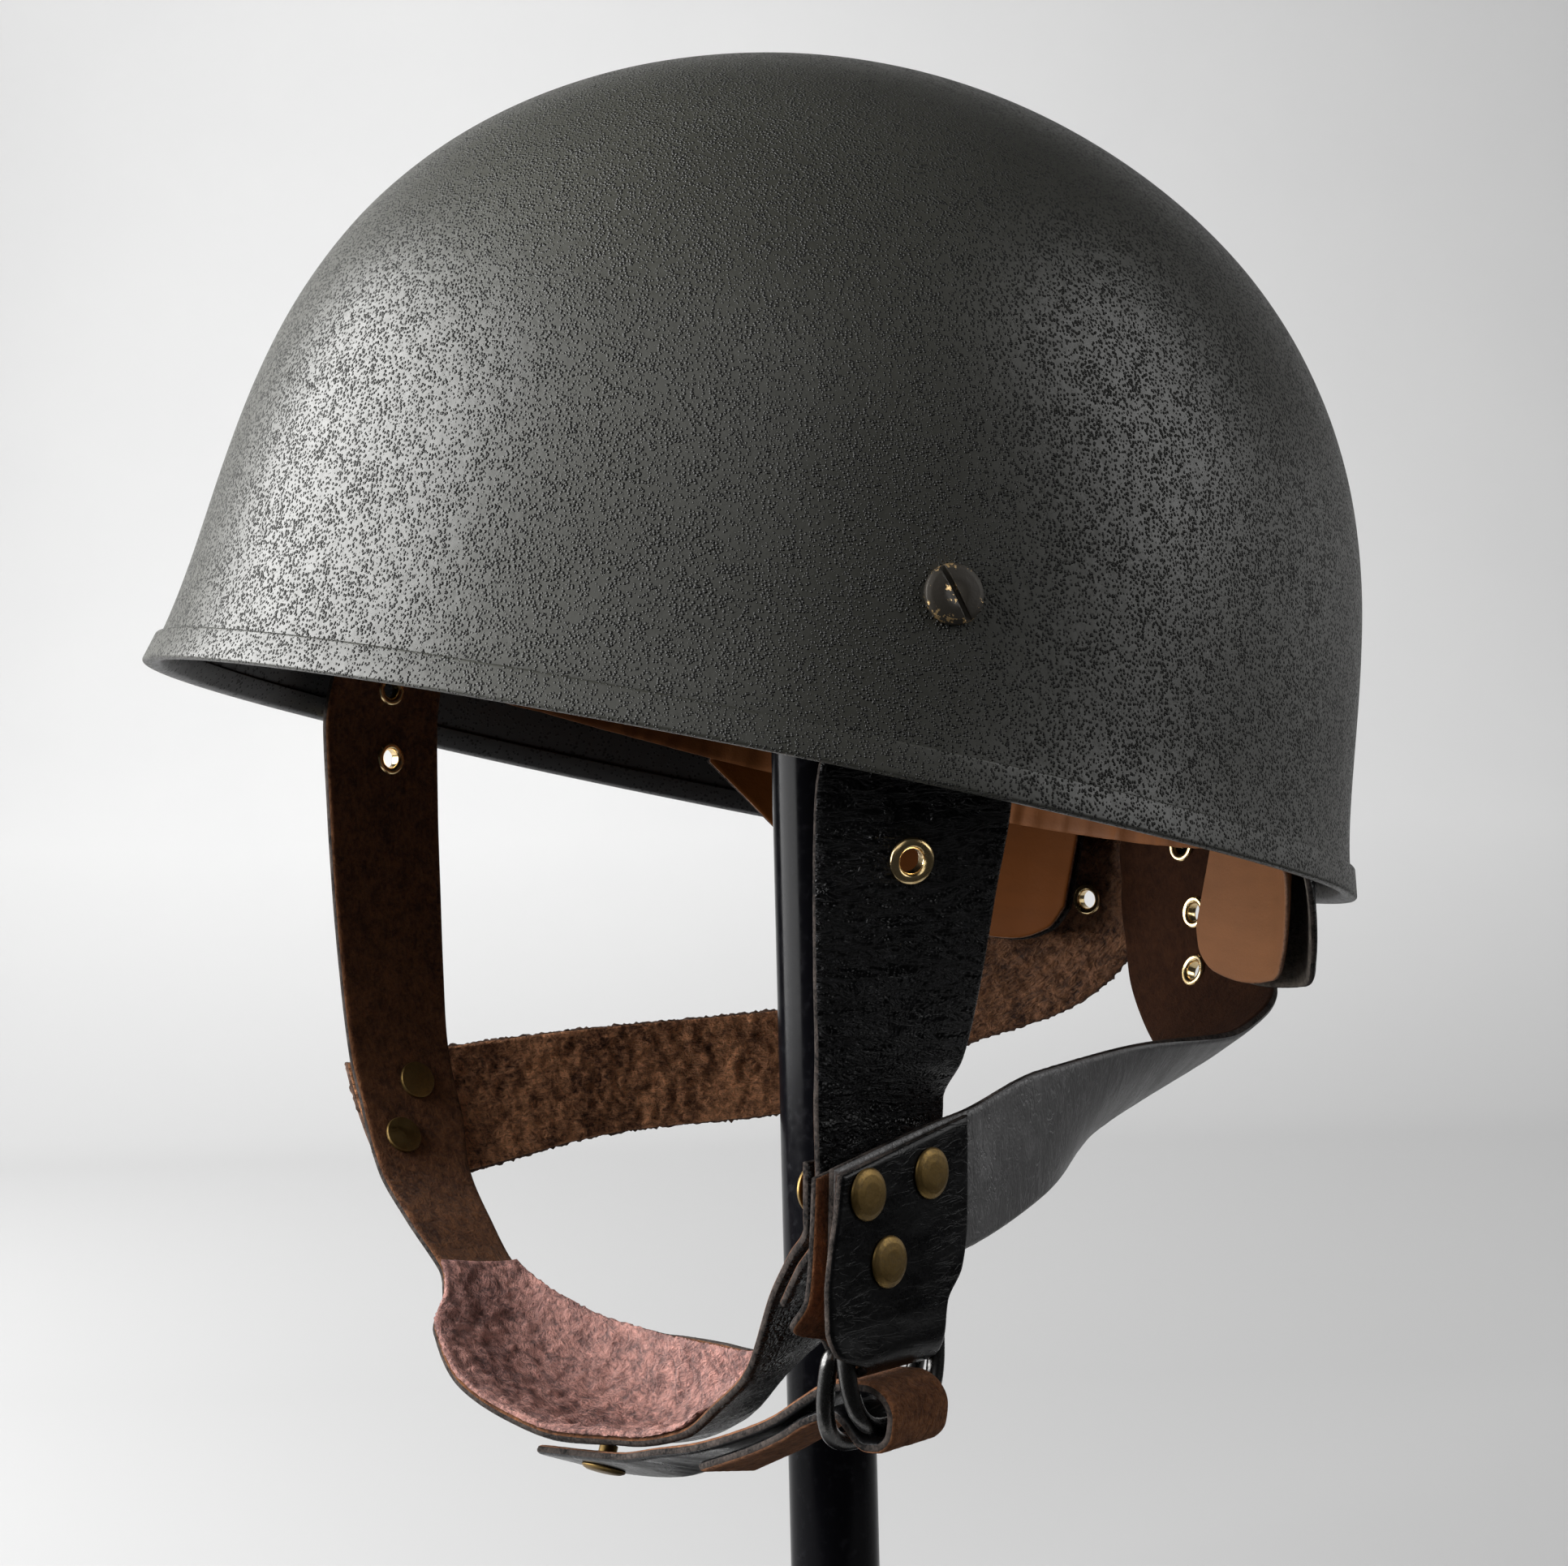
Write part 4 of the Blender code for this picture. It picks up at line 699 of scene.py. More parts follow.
def sheet(name, node, strip, paints, holes=(), grain=None, flesh=None, fray=0.1):
    """A leather sheet with a grain side, a flesh side and a cut edge, and holes through it.

    The paints are those of the grain, the flesh side and the edge. Grain and flesh give the relief
    of each side from places along and across the sheet, and in space, in millimetres.
    """
    grid, facing = strip.grid, strip.normals()
    rows, columns = grid.shape[:2]
    count = rows * columns
    steps = np.linalg.norm(np.diff(grid, axis=0), axis=2).mean(axis=1)
    along = np.concatenate([[0.0], np.cumsum(steps)])[:, None] * np.ones((1, columns))
    strides = np.linalg.norm(np.diff(grid, axis=1), axis=2)
    across = np.concatenate([np.zeros((rows, 1)), np.cumsum(strides, axis=1)], axis=1)
    flow = np.stack([along, across, across * 0.0], axis=2)
    border = np.minimum(np.minimum(along, along[-1:] - along), np.minimum(across, across[:, -1:] - across))
    thin = EDGE_THIN * (1.0 - np.clip(border / EDGE_ROUND, 0.0, 1.0)) ** 2
    half = strip.thickness / 2 * (1.0 - thin)
    inner = np.clip(border / RELIEF_MARGIN, 0.0, 1.0)
    lift = half + (grain(flow, grid) * inner if grain else 0.0)
    drop = half + (flesh(flow, grid) * inner if flesh else 0.0)
    top = (grid + facing * lift[..., None]).reshape(-1, 3)
    bottom = (grid - facing * drop[..., None]).reshape(-1, 3)

    middle = (grid[:-1, :-1] + grid[1:, 1:] + grid[:-1, 1:] + grid[1:, :-1]) / 4
    keep = np.ones((rows - 1, columns - 1), bool)
    for centre, axis, radius in holes:
        away = middle - centre
        level = away @ axis
        apart = np.linalg.norm(away - level[..., None] * axis, axis=2)
        keep &= (apart > radius) | (np.abs(level) > HOLE_REACH)
    i, j = np.nonzero(keep)
    corner = i * columns + j
    quads = np.stack([corner, corner + 1, corner + columns + 1, corner + columns], axis=1)

    first, second, outward = open_edges(keep, quads, grid.reshape(-1, 3), middle)
    rim = np.unique(np.concatenate([first, second]))
    outward[rim] /= np.maximum(np.linalg.norm(outward[rim], axis=1, keepdims=True), 1e-9)
    place = np.zeros(count, int)
    place[rim] = np.arange(len(rim))
    walls = []
    for k in range(1, WALL_STEPS):
        s = k / WALL_STEPS
        level = top[rim] * (1 - s) + bottom[rim] * s
        swell = EDGE_SWELL * s * (1 - s) + fray * fractal(level / EDGE_FRAY_SCALE, 40 + k, 2)
        walls.append(level + outward[rim] * swell[:, None])
    points = np.concatenate([top, bottom] + walls)

    def wall_index(which, k):
        if k == 0:
            return which
        if k == WALL_STEPS:
            return which + count
        return 2 * count + (k - 1) * len(rim) + place[which]

    faces = [quads, quads[:, ::-1] + count]
    slots = [np.zeros(len(quads), int), np.ones(len(quads), int)]
    for k in range(WALL_STEPS):
        faces.append(np.stack([wall_index(first, k), wall_index(second, k),
                               wall_index(second, k + 1), wall_index(first, k + 1)], axis=1))
        slots.append(np.full(len(first), 2))
    faces = np.concatenate(faces)
    used, compact = np.unique(faces, return_inverse=True)
    flat_flow = flow.reshape(-1, 3)
    flows = np.concatenate([flat_flow] * 2 + [flat_flow[rim]] * (WALL_STEPS - 1))
    return piece(name, points[used], compact.reshape(faces.shape).tolist(), paints, [node],
                 np.concatenate(slots), flows[used], 70.0)


def lathe(name, node, profile, sides, centre, axis, paint, fillet=0.3, closed=False):
    """A turned piece with the corners of its profile rounded."""
    points, faces = turned(filleted(profile, fillet, 4, closed), sides, centre, axis)
    return piece(name, points, faces, [paint], [node])


def ridged(scale_u, scale_v, depth, seed):
    """Creases: narrow valleys between broad swells, stretched along and across the sheet."""
    def relief(flow, place):
        at = np.stack([flow[..., 0] / scale_u, flow[..., 1] / scale_v, flow[..., 0] * 0.0], axis=-1)
        return -depth * (1.0 - np.abs(fractal(at, seed)) * 2.0)
    return relief


def fuzzy(scale, depth, seed):
    """Lumps of one size in every direction."""
    def relief(flow, place):
        return depth * fractal(place / scale, seed)
    return relief


# Materials

class Paint:
    """A node material, with short names for the nodes that it uses."""

    def __init__(self, name, roughness=0.5, metallic=0.0, **sockets):
        self.material = bpy.data.materials.new(name)
        self.material.use_nodes = True
        self.tree = self.material.node_tree
        self.shader = self.tree.nodes["Principled BSDF"]
        self.shader.inputs["Roughness"].default_value = roughness
        self.shader.inputs["Metallic"].default_value = metallic
        for socket, value in sockets.items():
            self.shader.inputs[socket.replace("_", " ")].default_value = value
        self.place = self.node("TexCoord").outputs["Object"]

    def node(self, kind, **values):
        made = self.tree.nodes.new("ShaderNode" + kind)
        for key, value in values.items():
            setattr(made, key, value)
        return made

    def put(self, socket, value):
        if isinstance(value, bpy.types.NodeSocket):
            self.tree.links.new(value, socket)
        else:
            socket.default_value = value

    def flow(self, scale_u, scale_v):
        """Places along and across a sheet, each with its own scale per metre."""
        source = self.node("Attribute", attribute_name="flow").outputs["Vector"]
        made = self.node("VectorMath", operation="MULTIPLY")
        self.put(made.inputs[0], source)
        made.inputs[1].default_value = (scale_u, scale_v, 1.0)
        return made.outputs[0]

    def noise(self, scale, detail=3.0, roughness=0.55, distortion=0.0, place=None):
        made = self.node("TexNoise")
        self.put(made.inputs["Vector"], self.place if place is None else place)
        for socket, value in (("Scale", scale), ("Detail", detail), ("Roughness", roughness),
                              ("Distortion", distortion)):
            made.inputs[socket].default_value = value
        return made.outputs["Fac"]

    def cells(self, scale, smooth=None):
        """Distance to the nearest of scattered points, in parts of their spacing."""
        made = self.node("TexVoronoi", feature="SMOOTH_F1" if smooth else "F1")
        self.put(made.inputs["Vector"], self.place)
        made.inputs["Scale"].default_value = scale
        if smooth:
            made.inputs["Smoothness"].default_value = smooth
        return made.outputs["Distance"]

    def math(self, operation, first, second=0.0, clamp=False):
        made = self.node("Math", operation=operation, use_clamp=clamp)
        self.put(made.inputs[0], first)
        self.put(made.inputs[1], second)
        return made.outputs[0]

    def total(self, *terms):
        """Sum of terms, each a value or a pair of a value and its weight."""
        parts = [self.math("MULTIPLY", *term) if isinstance(term, tuple) else term for term in terms]
        result = parts[0]
        for part in parts[1:]:
            result = self.math("ADD", result, part)
        return result

    def distance(self, direction):
        """How far a place lies along a direction."""
        made = self.node("VectorMath", operation="DOT_PRODUCT")
        self.put(made.inputs[0], self.place)
        made.inputs[1].default_value = direction
        return made.outputs["Value"]

    def spread(self, value, low, high, to_low=0.0, to_high=1.0):
        """A range of a value mapped to another, and clamped to it."""
        made = self.node("MapRange")
        self.put(made.inputs["Value"], value)
        for socket, number in (("From Min", low), ("From Max", high),
                               ("To Min", to_low), ("To Max", to_high)):
            made.inputs[socket].default_value = number
        return made.outputs["Result"]

    def mix(self, share, first, second, blend="MIX"):
        made = self.node("Mix", data_type="RGBA", blend_type=blend)
        self.put(made.inputs["Factor"], share)
        for socket, value in ((made.inputs[6], first), (made.inputs[7], second)):
            self.put(socket, value if isinstance(value, bpy.types.NodeSocket) else (*value, 1.0))
        return made.outputs[2]

    def colour(self, value):
        self.put(self.shader.inputs["Base Color"], value)

    def rough(self, value):
        self.put(self.shader.inputs["Roughness"], value)

    def bump(self, height, distance):
        made = self.node("Bump")
        made.inputs["Strength"].default_value = 1.0
        made.inputs["Distance"].default_value = distance * MM
        self.put(made.inputs["Height"], height)
        self.put(self.shader.inputs["Normal"], made.outputs["Normal"])


def shade(colour, factor, lift=0.0):
    """A colour made darker or lighter."""
    return [c * factor + lift for c in colour]


def grained_paint(name, base, scale, relief, cover):
    """Smooth half-gloss paint with round grit standing out of it, the grit's colour darkened as painted
    shade.
    """
    paint = Paint(name, 0.4)
    crowd = paint.noise(scale * 0.16, 4.0, 0.62)
    reach = paint.total((crowd, 0.6), cover + 0.165)
    dome = paint.math("SUBTRACT", 1.0, paint.math("DIVIDE", paint.cells(scale), reach), True)
    grains = paint.spread(dome, 0.04, 0.24)
    fine = paint.noise(420.0, 2.0, 0.5)
    tone = paint.mix(paint.spread(paint.noise(28.0, 3.0), 0.35, 0.65), base, shade(base, 0.86))
    # painted shade: the grit takes a much darker colour than the paint, standing for the shade on its slopes
    paint.colour(paint.mix(grains, tone, shade(base, 0.24)))
    paint.rough(paint.total(paint.spread(fine, 0.3, 0.7, 0.37, 0.45), (grains, 0.08)))
    paint.put(paint.shader.inputs["Specular IOR Level"], paint.spread(grains, 0.0, 1.0, 0.56, 0.3))
    paint.bump(paint.total(paint.math("POWER", dome, 0.55), (fine, 0.2)), relief)
    return paint.material


def grain_leather(name, base, roughness, crease, gloss):
    """Polished grain side, with fine creases across the strap, their low sides painted darker as painted
    shade and their narrow valleys lighter as painted highlight.
    """
    paint = Paint(name, roughness, Specular_IOR_Level=gloss)
    firm = min(1.0, crease)
    pores = paint.cells(1400.0, smooth=0.5)
    lines = paint.noise(1.0, 3.0, 0.55, 1.2, paint.flow(540.0, 150.0))
    sweep = paint.noise(1.0, 3.0, 0.5, 0.4, paint.flow(160.0, 60.0))
    valley = paint.math("ABSOLUTE", paint.math("SUBTRACT", lines, 0.5))
    fold = paint.total(paint.spread(lines, 0.4, 0.6), paint.spread(valley, 0.0, 0.06))
    where = paint.spread(paint.noise(45.0, 3.0, 0.5), 0.36, 0.62, 0.25, 1.0)
    height = paint.math("MULTIPLY", paint.math("MULTIPLY", fold, crease), where)
    height = paint.total(height, (pores, -0.3 * min(1.0, 1.5 * crease)))
    worn = paint.spread(paint.noise(95.0, 4.0), 0.55, 0.75)
    tone = paint.mix(worn, base, shade(base, 1.9, 0.002))
    # painted shade: the low side of each crease is darkened
    tone = paint.mix(paint.spread(lines, 0.52, 0.36, 0.0, firm), tone, shade(base, 0.5))
    # painted highlight: a light line along each crease's narrow valley
    painted_crease_highlight = paint.math("MULTIPLY", paint.spread(valley, 0.04, 0.0, 0.0, firm), where)
    paint.colour(paint.mix(painted_crease_highlight, tone, shade(base, 10.0, 0.012)))
    polish = paint.total(sweep, (pores, 0.25))
    paint.rough(paint.spread(polish, 0.3, 0.85, roughness - 0.08, roughness + 0.16))
    paint.bump(height, 0.95)
    return paint.material


def suede(name, light, dark, scale=650.0, relief=0.5, fibres=0.5, fuzz=0.06, contrast=0.1, shaded_rear=None):
    """Flesh side: matted fibres with their hollows painted darker as painted shade, and painted shade that
    sets in between two depths to the rear.
    """
    paint = Paint(name, 0.95, Sheen_Weight=fuzz, Sheen_Roughness=0.5, Specular_IOR_Level=0.08)
    mat = paint.noise(scale, 6.0, 0.7, 0.8)
    clumps = paint.noise(scale * 0.35, 3.0, 0.6, 0.6)
    strands = paint.noise(1.0, 3.0, 0.6, 1.2, paint.flow(260.0, 900.0))
    share = paint.total((mat, 0.5), (strands, 0.2), (clumps, 0.3))
    # painted shade: the tone follows the relief, darker in its hollows
    tone = paint.mix(paint.spread(share, 0.5 - contrast, 0.5 + contrast), dark, light)
    blotch = paint.mix(paint.spread(paint.noise(70.0, 4.0, 0.6), 0.35, 0.68), dark, light)
    tone = paint.mix(0.25, tone, blotch)
    if shaded_rear:
        # painted shade: darker towards the rear, multiplied in between two depths
        rear_painted_shade = paint.spread(paint.distance((0.0, 1.0, 0.0)), *shaded_rear)
        tone = paint.mix(rear_painted_shade, tone, (0.36, 0.36, 0.36), "MULTIPLY")
    paint.colour(tone)
    paint.bump(paint.total(mat, (strands, fibres), clumps), relief)
    return paint.material


def cut_edge(name, light, dark):
    """Fibrous cut edge of leather."""
    paint = Paint(name, 0.9, Specular_IOR_Level=0.12)
    fibres = paint.noise(1300.0, 5.0, 0.7, 0.5)
    share = paint.total((fibres, 0.6), (paint.noise(160.0, 3.0, 0.6), 0.4))
    paint.colour(paint.mix(paint.spread(share, 0.4, 0.62), dark, light))
    paint.bump(fibres, 0.3)
    return paint.material


def smooth_leather(name, base, gloss=0.12):
    """Tan lining leather with a faint pore and soft stains."""
    paint = Paint(name, 0.6, Specular_IOR_Level=gloss)
    stain = paint.noise(38.0, 4.0, 0.55)
    streak = paint.noise(1.0, 3.0, 0.5, 0.3, paint.flow(40.0, 260.0))
    share = paint.total((stain, 0.6), (streak, 0.4))
    paint.colour(paint.mix(paint.spread(share, 0.36, 0.64), shade(base, 0.78), base))
    paint.rough(paint.spread(stain, 0.3, 0.7, 0.5, 0.66))
    paint.bump(paint.total((paint.cells(2100.0, smooth=0.5), -0.5), paint.noise(700.0, 3.0)), 0.06)
    return paint.material


def aged_metal(name, bright, dark, roughness, wear, scratch, edge=0.12, skin=1.0):
    """Metal with a darkened skin that rubs through in flecks."""
    paint = Paint(name, roughness, 1.0)
    speck = paint.noise(1500.0, 4.0, 0.6)
    share = paint.total((paint.noise(260.0, 5.0, 0.6), 0.6), (speck, 0.4))
    rub = paint.spread(share, wear, wear + edge)
    paint.colour(paint.mix(rub, dark, bright))
    if skin < 1.0:
        paint.put(paint.shader.inputs["Metallic"], paint.spread(rub, 0.0, 1.0, skin, 1.0))
    paint.rough(paint.spread(share, 0.3, 0.7, roughness + 0.12, roughness - 0.08))
    paint.bump(speck, scratch)
    return paint.material


def gloss_enamel(name, base):
    """Smooth black enamel with a trace of dust."""
    paint = Paint(name, 0.2, Specular_IOR_Level=0.06)
    dust = paint.noise(420.0, 5.0, 0.6)
    paint.colour(paint.mix(paint.spread(dust, 0.55, 0.8), base, shade(base, 2.2, 0.004)))
    paint.rough(paint.spread(dust, 0.3, 0.8, 0.13, 0.26))
    paint.bump(paint.noise(60.0, 2.0), 0.05)
    return paint.material


OLIVE = (0.044, 0.044, 0.036)
SCREW_SKIN = ((0.8, 0.56, 0.28), (0.04, 0.034, 0.026))

PAINTS = {
    # base colour, grains per metre, relief, how much more grit
    "shell": grained_paint("cork_paint_look", OLIVE, 1500.0, 0.45, 0.0),
    "band": grained_paint("band_paint_look", OLIVE, 1500.0, 0.4, -0.02),
    "inside": grained_paint("inside_paint_look", (0.009, 0.009, 0.01), 900.0, 0.06, -0.12),
    # base colour, roughness, depth of the creases, gloss
    "grain": grain_leather("black_grain", (0.0018, 0.0018, 0.0021), 0.22, 1.0, 0.18),
    "calm": grain_leather("black_smooth_grain", (0.002, 0.002, 0.0023), 0.25, 0.035, 0.26),
    # painted sheen: the black grain's base colour is raised to grey to stand for its sheen
    "grain_painted_sheen": grain_leather("black_grain_painted_sheen", (0.075, 0.074, 0.075), 0.42, 0.12, 1.0),
    # light and dark colour, fibres per metre, relief, strands, sheen, contrast, depths of the painted shade
    # to the rear
    "brown": suede("brown_flesh", (0.19, 0.08, 0.034), (0.045, 0.018, 0.009), 700.0, 0.8, contrast=0.08),
    "loop": suede("loop_flesh", (0.31, 0.13, 0.056), (0.07, 0.027, 0.012), 800.0, 1.2, contrast=0.11),
    # painted shade: a much darker copy of the brown flesh, for the left nape strap's shaded inside
    "flesh_in_painted_shade": suede("brown_flesh_painted_shade", (0.034, 0.013, 0.0055), (0.014, 0.005, 0.0025), fuzz=0.0),
    # painted light: flesh far lighter than the brown flesh, standing for the key light on the right nape
    # strap, with painted shade to its rear
    "rough": suede("rough_flesh", (1.0, 0.46, 0.225), (0.085, 0.032, 0.016), 640.0, 3.0, 1.2, 0.06, 0.08,
                   (0.035, 0.095)),
    "pink": suede("pink_suede_look", (0.7, 0.345, 0.285), (0.12, 0.052, 0.047), 620.0, 3.6, 0.6, 0.14, 0.07),
    "grey": suede("grey_flesh", (0.13, 0.11, 0.09), (0.03, 0.024, 0.02), 600.0, 0.8),
    # light and dark colour
    "cut": cut_edge("black_cut_edge", (0.06, 0.048, 0.042), (0.004, 0.0038, 0.0038)),
    "brown_cut": cut_edge("brown_cut_edge", (0.16, 0.1, 0.075), (0.03, 0.018, 0.013)),
    "tan_cut": cut_edge("tan_cut_edge", (0.25, 0.14, 0.09), (0.07, 0.035, 0.02)),
    # base colour, gloss
    "tan": smooth_leather("tan_lining", (0.218, 0.093, 0.039)),
    # painted shade: a darker copy of the tan lining, for the sweatband under the shell
    "tan_sweatband_painted_shade": smooth_leather("tan_painted_shade_look", (0.165, 0.06, 0.018)),
    # painted shade: a darker copy of the tan lining, for the far neck flap
    "tan_far_painted_shade": smooth_leather("tan_far_flap_painted_shade", (0.088, 0.027, 0.005), 0.04),
    # bright metal and dark skin, roughness, where it wears through, scratches, edge of the wear, skin
    "brass": aged_metal("antique_brass_look", (0.23, 0.15, 0.052), (0.15, 0.097, 0.032),
                        0.42, 0.42, 0.03, skin=0.7),
    "screw": aged_metal("blackened_screw", *SCREW_SKIN, 0.5, 0.59, 0.05, 0.02, 0.3),
    "screw_rim": aged_metal("worn_screw_rim", *SCREW_SKIN, 0.5, 0.52, 0.05, 0.02, 0.3),
    "gold": aged_metal("gilt_eyelet", (0.86, 0.66, 0.36), (0.62, 0.44, 0.2), 0.2, 0.4, 0.01),
    "ring": aged_metal("blackened_ring", (0.13, 0.127, 0.123), (0.075, 0.074, 0.073), 0.26, 0.5, 0.01),
    # base colour
    "stand": gloss_enamel("stand_enamel", (0.003, 0.003, 0.004)),
}


# Shell, rim band and sweatband

def shell_surface(inset, rings, sides):
    """Rings of points from the edge up, then the crown, at an inset from the outside."""
    turns = np.linspace(0.0, math.pi / 2, 4000)
    rises = np.sin(turns) ** RISE_POWER
    radii = np.cos(turns) ** WALL_POWER * (BODY_HALF_LENGTH + BODY_HALF_WIDTH) / 2
    lengths = np.concatenate([[0.0], np.cumsum(np.hypot(np.diff(radii), np.diff(rises * SHELL_HEIGHT)))])
    start = np.interp(SHELL_EDGE / SHELL_HEIGHT, rises, lengths)
    levels = np.interp(np.linspace(start, lengths[-1], rings + 1)[:-1], lengths, rises)[:, None]
    angles = np.linspace(0.0, 2 * math.pi, sides, endpoint=False)[None, :]
    step = 1e-3
    low, high = np.maximum(levels - step, 1e-6), np.minimum(levels + step, 1.0 - 1e-6)
    slope = (rim_factor(high) - rim_factor(low)) / (high - low) * (BODY_HALF_LENGTH + BODY_HALF_WIDTH) / 2
    slope = slope / SHELL_HEIGHT
    tilt = np.hypot(1.0, slope)
    factor = rim_factor(levels)
    points = np.stack([(BODY_HALF_WIDTH * factor - inset / tilt) * np.sin(angles),
                       -(BODY_HALF_LENGTH * factor - inset / tilt) * np.cos(angles) + CROWN_SHIFT * levels,
                       (levels * SHELL_HEIGHT + inset * slope / tilt) * np.ones_like(angles)], axis=2)
    points[0, :, 2] = SHELL_EDGE
    crown = np.array([0.0, CROWN_SHIFT, SHELL_HEIGHT - inset])
    return points, crown


def build_shell():
    """The painted outside with a faint swell, the smooth inside, and the edge between them."""
    points, faces, slots = [], [], []
    for inset, rings in ((0.0, SHELL_RINGS), (SHELL_WALL, SHELL_RINGS // 3)):
        inside = inset > 0.0
        start = len(points)
        surface, crown = shell_surface(inset, rings, SHELL_SIDES)
        if not inside:
            outward = surface / np.linalg.norm(surface, axis=2, keepdims=True)
            swell = PAINT_SWELL * fractal(surface / PAINT_SWELL_SCALE, 5, 2)
            surface[2:] += (outward * swell[..., None])[2:]
        points += list(surface.reshape(-1, 3)) + [crown]
        for i in range(rings):
            ring = start + i * SHELL_SIDES
            for k in range(SHELL_SIDES):
                here, beside = ring + k, ring + (k + 1) % SHELL_SIDES
                if i == rings - 1:
                    face = [here, beside, start + rings * SHELL_SIDES]
                else:
                    face = [here, beside, beside + SHELL_SIDES, here + SHELL_SIDES]
                faces.append(face[::-1] if inside else face)
                slots.append(int(inside))
    inner = SHELL_RINGS * SHELL_SIDES + 1
    for k in range(SHELL_SIDES):
        beside = (k + 1) % SHELL_SIDES
        faces.append([k, inner + k, inner + beside, beside])
        slots.append(1)
    piece("shell_dome", hung_from_helmet(points), faces, ["shell", "inside"], ["shell"], slots)


def build_rim_band():
    """A grooved section, as offsets from the shell's outside and heights, swept round the rim."""
    inner = -SHELL_WALL - GAP - 0.1
    section = [(0.05, BAND_OUTSIDE), (GAP + BAND_WALL, BAND_OUTSIDE), (GAP + BAND_WALL, 0.5),
               (0.5, 0.0), (inner + 0.3, 0.0), (inner - BAND_WALL, 0.6),
               (inner - BAND_WALL, BAND_INSIDE), (inner, BAND_INSIDE),
               (inner, SHELL_EDGE - GAP), (0.05, SHELL_EDGE - GAP)]
    section = filleted(section, BAND_ROUND, 3, True)
    points = []
    for k in range(BAND_SIDES):
        points += [wall_point(360.0 * k / BAND_SIDES, height, -offset) for offset, height in section]
    slots = [int(offset < BAND_PAINT_EDGE) for offset, _ in section] * BAND_SIDES
    piece("rim_binding", hung_from_helmet(points), tube_faces(BAND_SIDES, len(section)), ["band", "inside"],
          ["rim_band"], slots)


def build_sweatband():
    """A closed band of leather, gathered along its lower edge."""
    levels = np.concatenate([[0.0, 0.01, 0.03], np.linspace(0.06, 0.96, 20), [0.985, 1.0]])
    around = np.linspace(0.0, 2 * math.pi, SWEATBAND_SEGMENTS, endpoint=False)
    circle = np.stack([np.cos(around), np.sin(around), around * 0.0], axis=1)
    gathers = fractal(circle * GATHER_SCALE, 91, 2)
    points, flow = [], []
    for turn, gather in zip(around, gathers):
        lowest = SWEATBAND_LOW + SWEATBAND_REAR_DROP * min(0.0, math.cos(turn))
        wave = (1.0 + math.cos(PLEATS * turn)) / 2
        for side in (1.0, -1.0):
            for level in levels if side > 0 else levels[::-1]:
                depth = 1.0 - level
                out = -PLEAT_DEPTH * depth * wave - PLEAT_RIPPLE * depth ** 2 * math.sin(3 * PLEATS * turn)
                edge = max(0.0, 1.0 - min(level, depth) * SWEATBAND_EDGES)
                out += side * LINING / 2 * (1.0 - 0.5 * edge ** 2)
                out += GATHER_DEPTH * depth ** 1.3 * (gather - GATHER_MIDDLE)
                height = lowest + level * (SWEATBAND_TOP - lowest)
                points.append(((SWEATBAND_HALF_WIDTH + out) * math.sin(turn),
                               -(SWEATBAND_HALF_LENGTH + out) * math.cos(turn), height))
                flow.append((turn * SWEATBAND_MEAN_RADIUS, height, 0.0))
    piece("sweatband_leather", hung_from_helmet(points), tube_faces(SWEATBAND_SEGMENTS, 2 * len(levels)),
          ["tan_sweatband_painted_shade"], ["sweatband"], None, flow)


# Hardware

def build_screw(name, angle, strap):
    """A turned screw with its nut on the strap's inside, and the slot cut into its head."""
    centre, axis = hung_seat(angle)
    foot, across, _, low = strap.seat(centre - axis * STRAP_INSET, NUT_RADIUS)
    inner = strap.thickness / 2 - low * float(across @ axis) - float((foot - centre) @ axis)
    reach = inner + NUT_THICK
    top = GAP + SCREW_DOME
    profile = [(0.0, top), (3.0, top - 0.1), (4.8, top - 0.4), (SCREW_HEAD, top - 0.9), (SCREW_HEAD, -0.1),
               (SHANK_RADIUS, -0.1), (SHANK_RADIUS, -inner), (NUT_RADIUS, -inner), (NUT_RADIUS, -reach),
               (0.0, -reach)]
    points, faces = turned(filleted(profile, 0.3), 64, centre, axis)
    away = np.array([np.mean([points[i] for i in face], axis=0) for face in faces]) - centre
    reaches = np.linalg.norm(away - (away @ axis)[:, None] * axis, axis=1)
    screw = piece(name + "_slotted", points, faces, ["screw", "screw_rim"],
                  [name], (reaches > SCREW_RIM).astype(int))
    mesh = bpy.data.meshes.new(name + "_slot")
    shape = bmesh.new()
    bmesh.ops.create_cube(shape, size=1.0)
    bmesh.ops.scale(shape, vec=[size * MM for size in SLOT_SIZE], verts=shape.verts)
    shape.to_mesh(mesh)
    shape.free()
    cutter = placed(name + "_slot", mesh)
    turn = Matrix(axis_frame(axis).tolist()) @ Matrix.Rotation(math.radians(SLOT_TURN), 3, "Z")
    cutter.matrix_world = Matrix.Translation(Vector(world(centre + axis * (top + 0.1)))) @ turn.to_4x4()
    tool = screw.modifiers.new("slot", "BOOLEAN")
    tool.operation = "DIFFERENCE"
    tool.solver = "EXACT"
    tool.object = cutter
    done = bpy.data.meshes.new_from_object(screw.evaluated_get(bpy.context.evaluated_depsgraph_get()))
    screw.modifiers.clear()
    screw.data = done
    bpy.data.objects.remove(cutter, do_unlink=True)


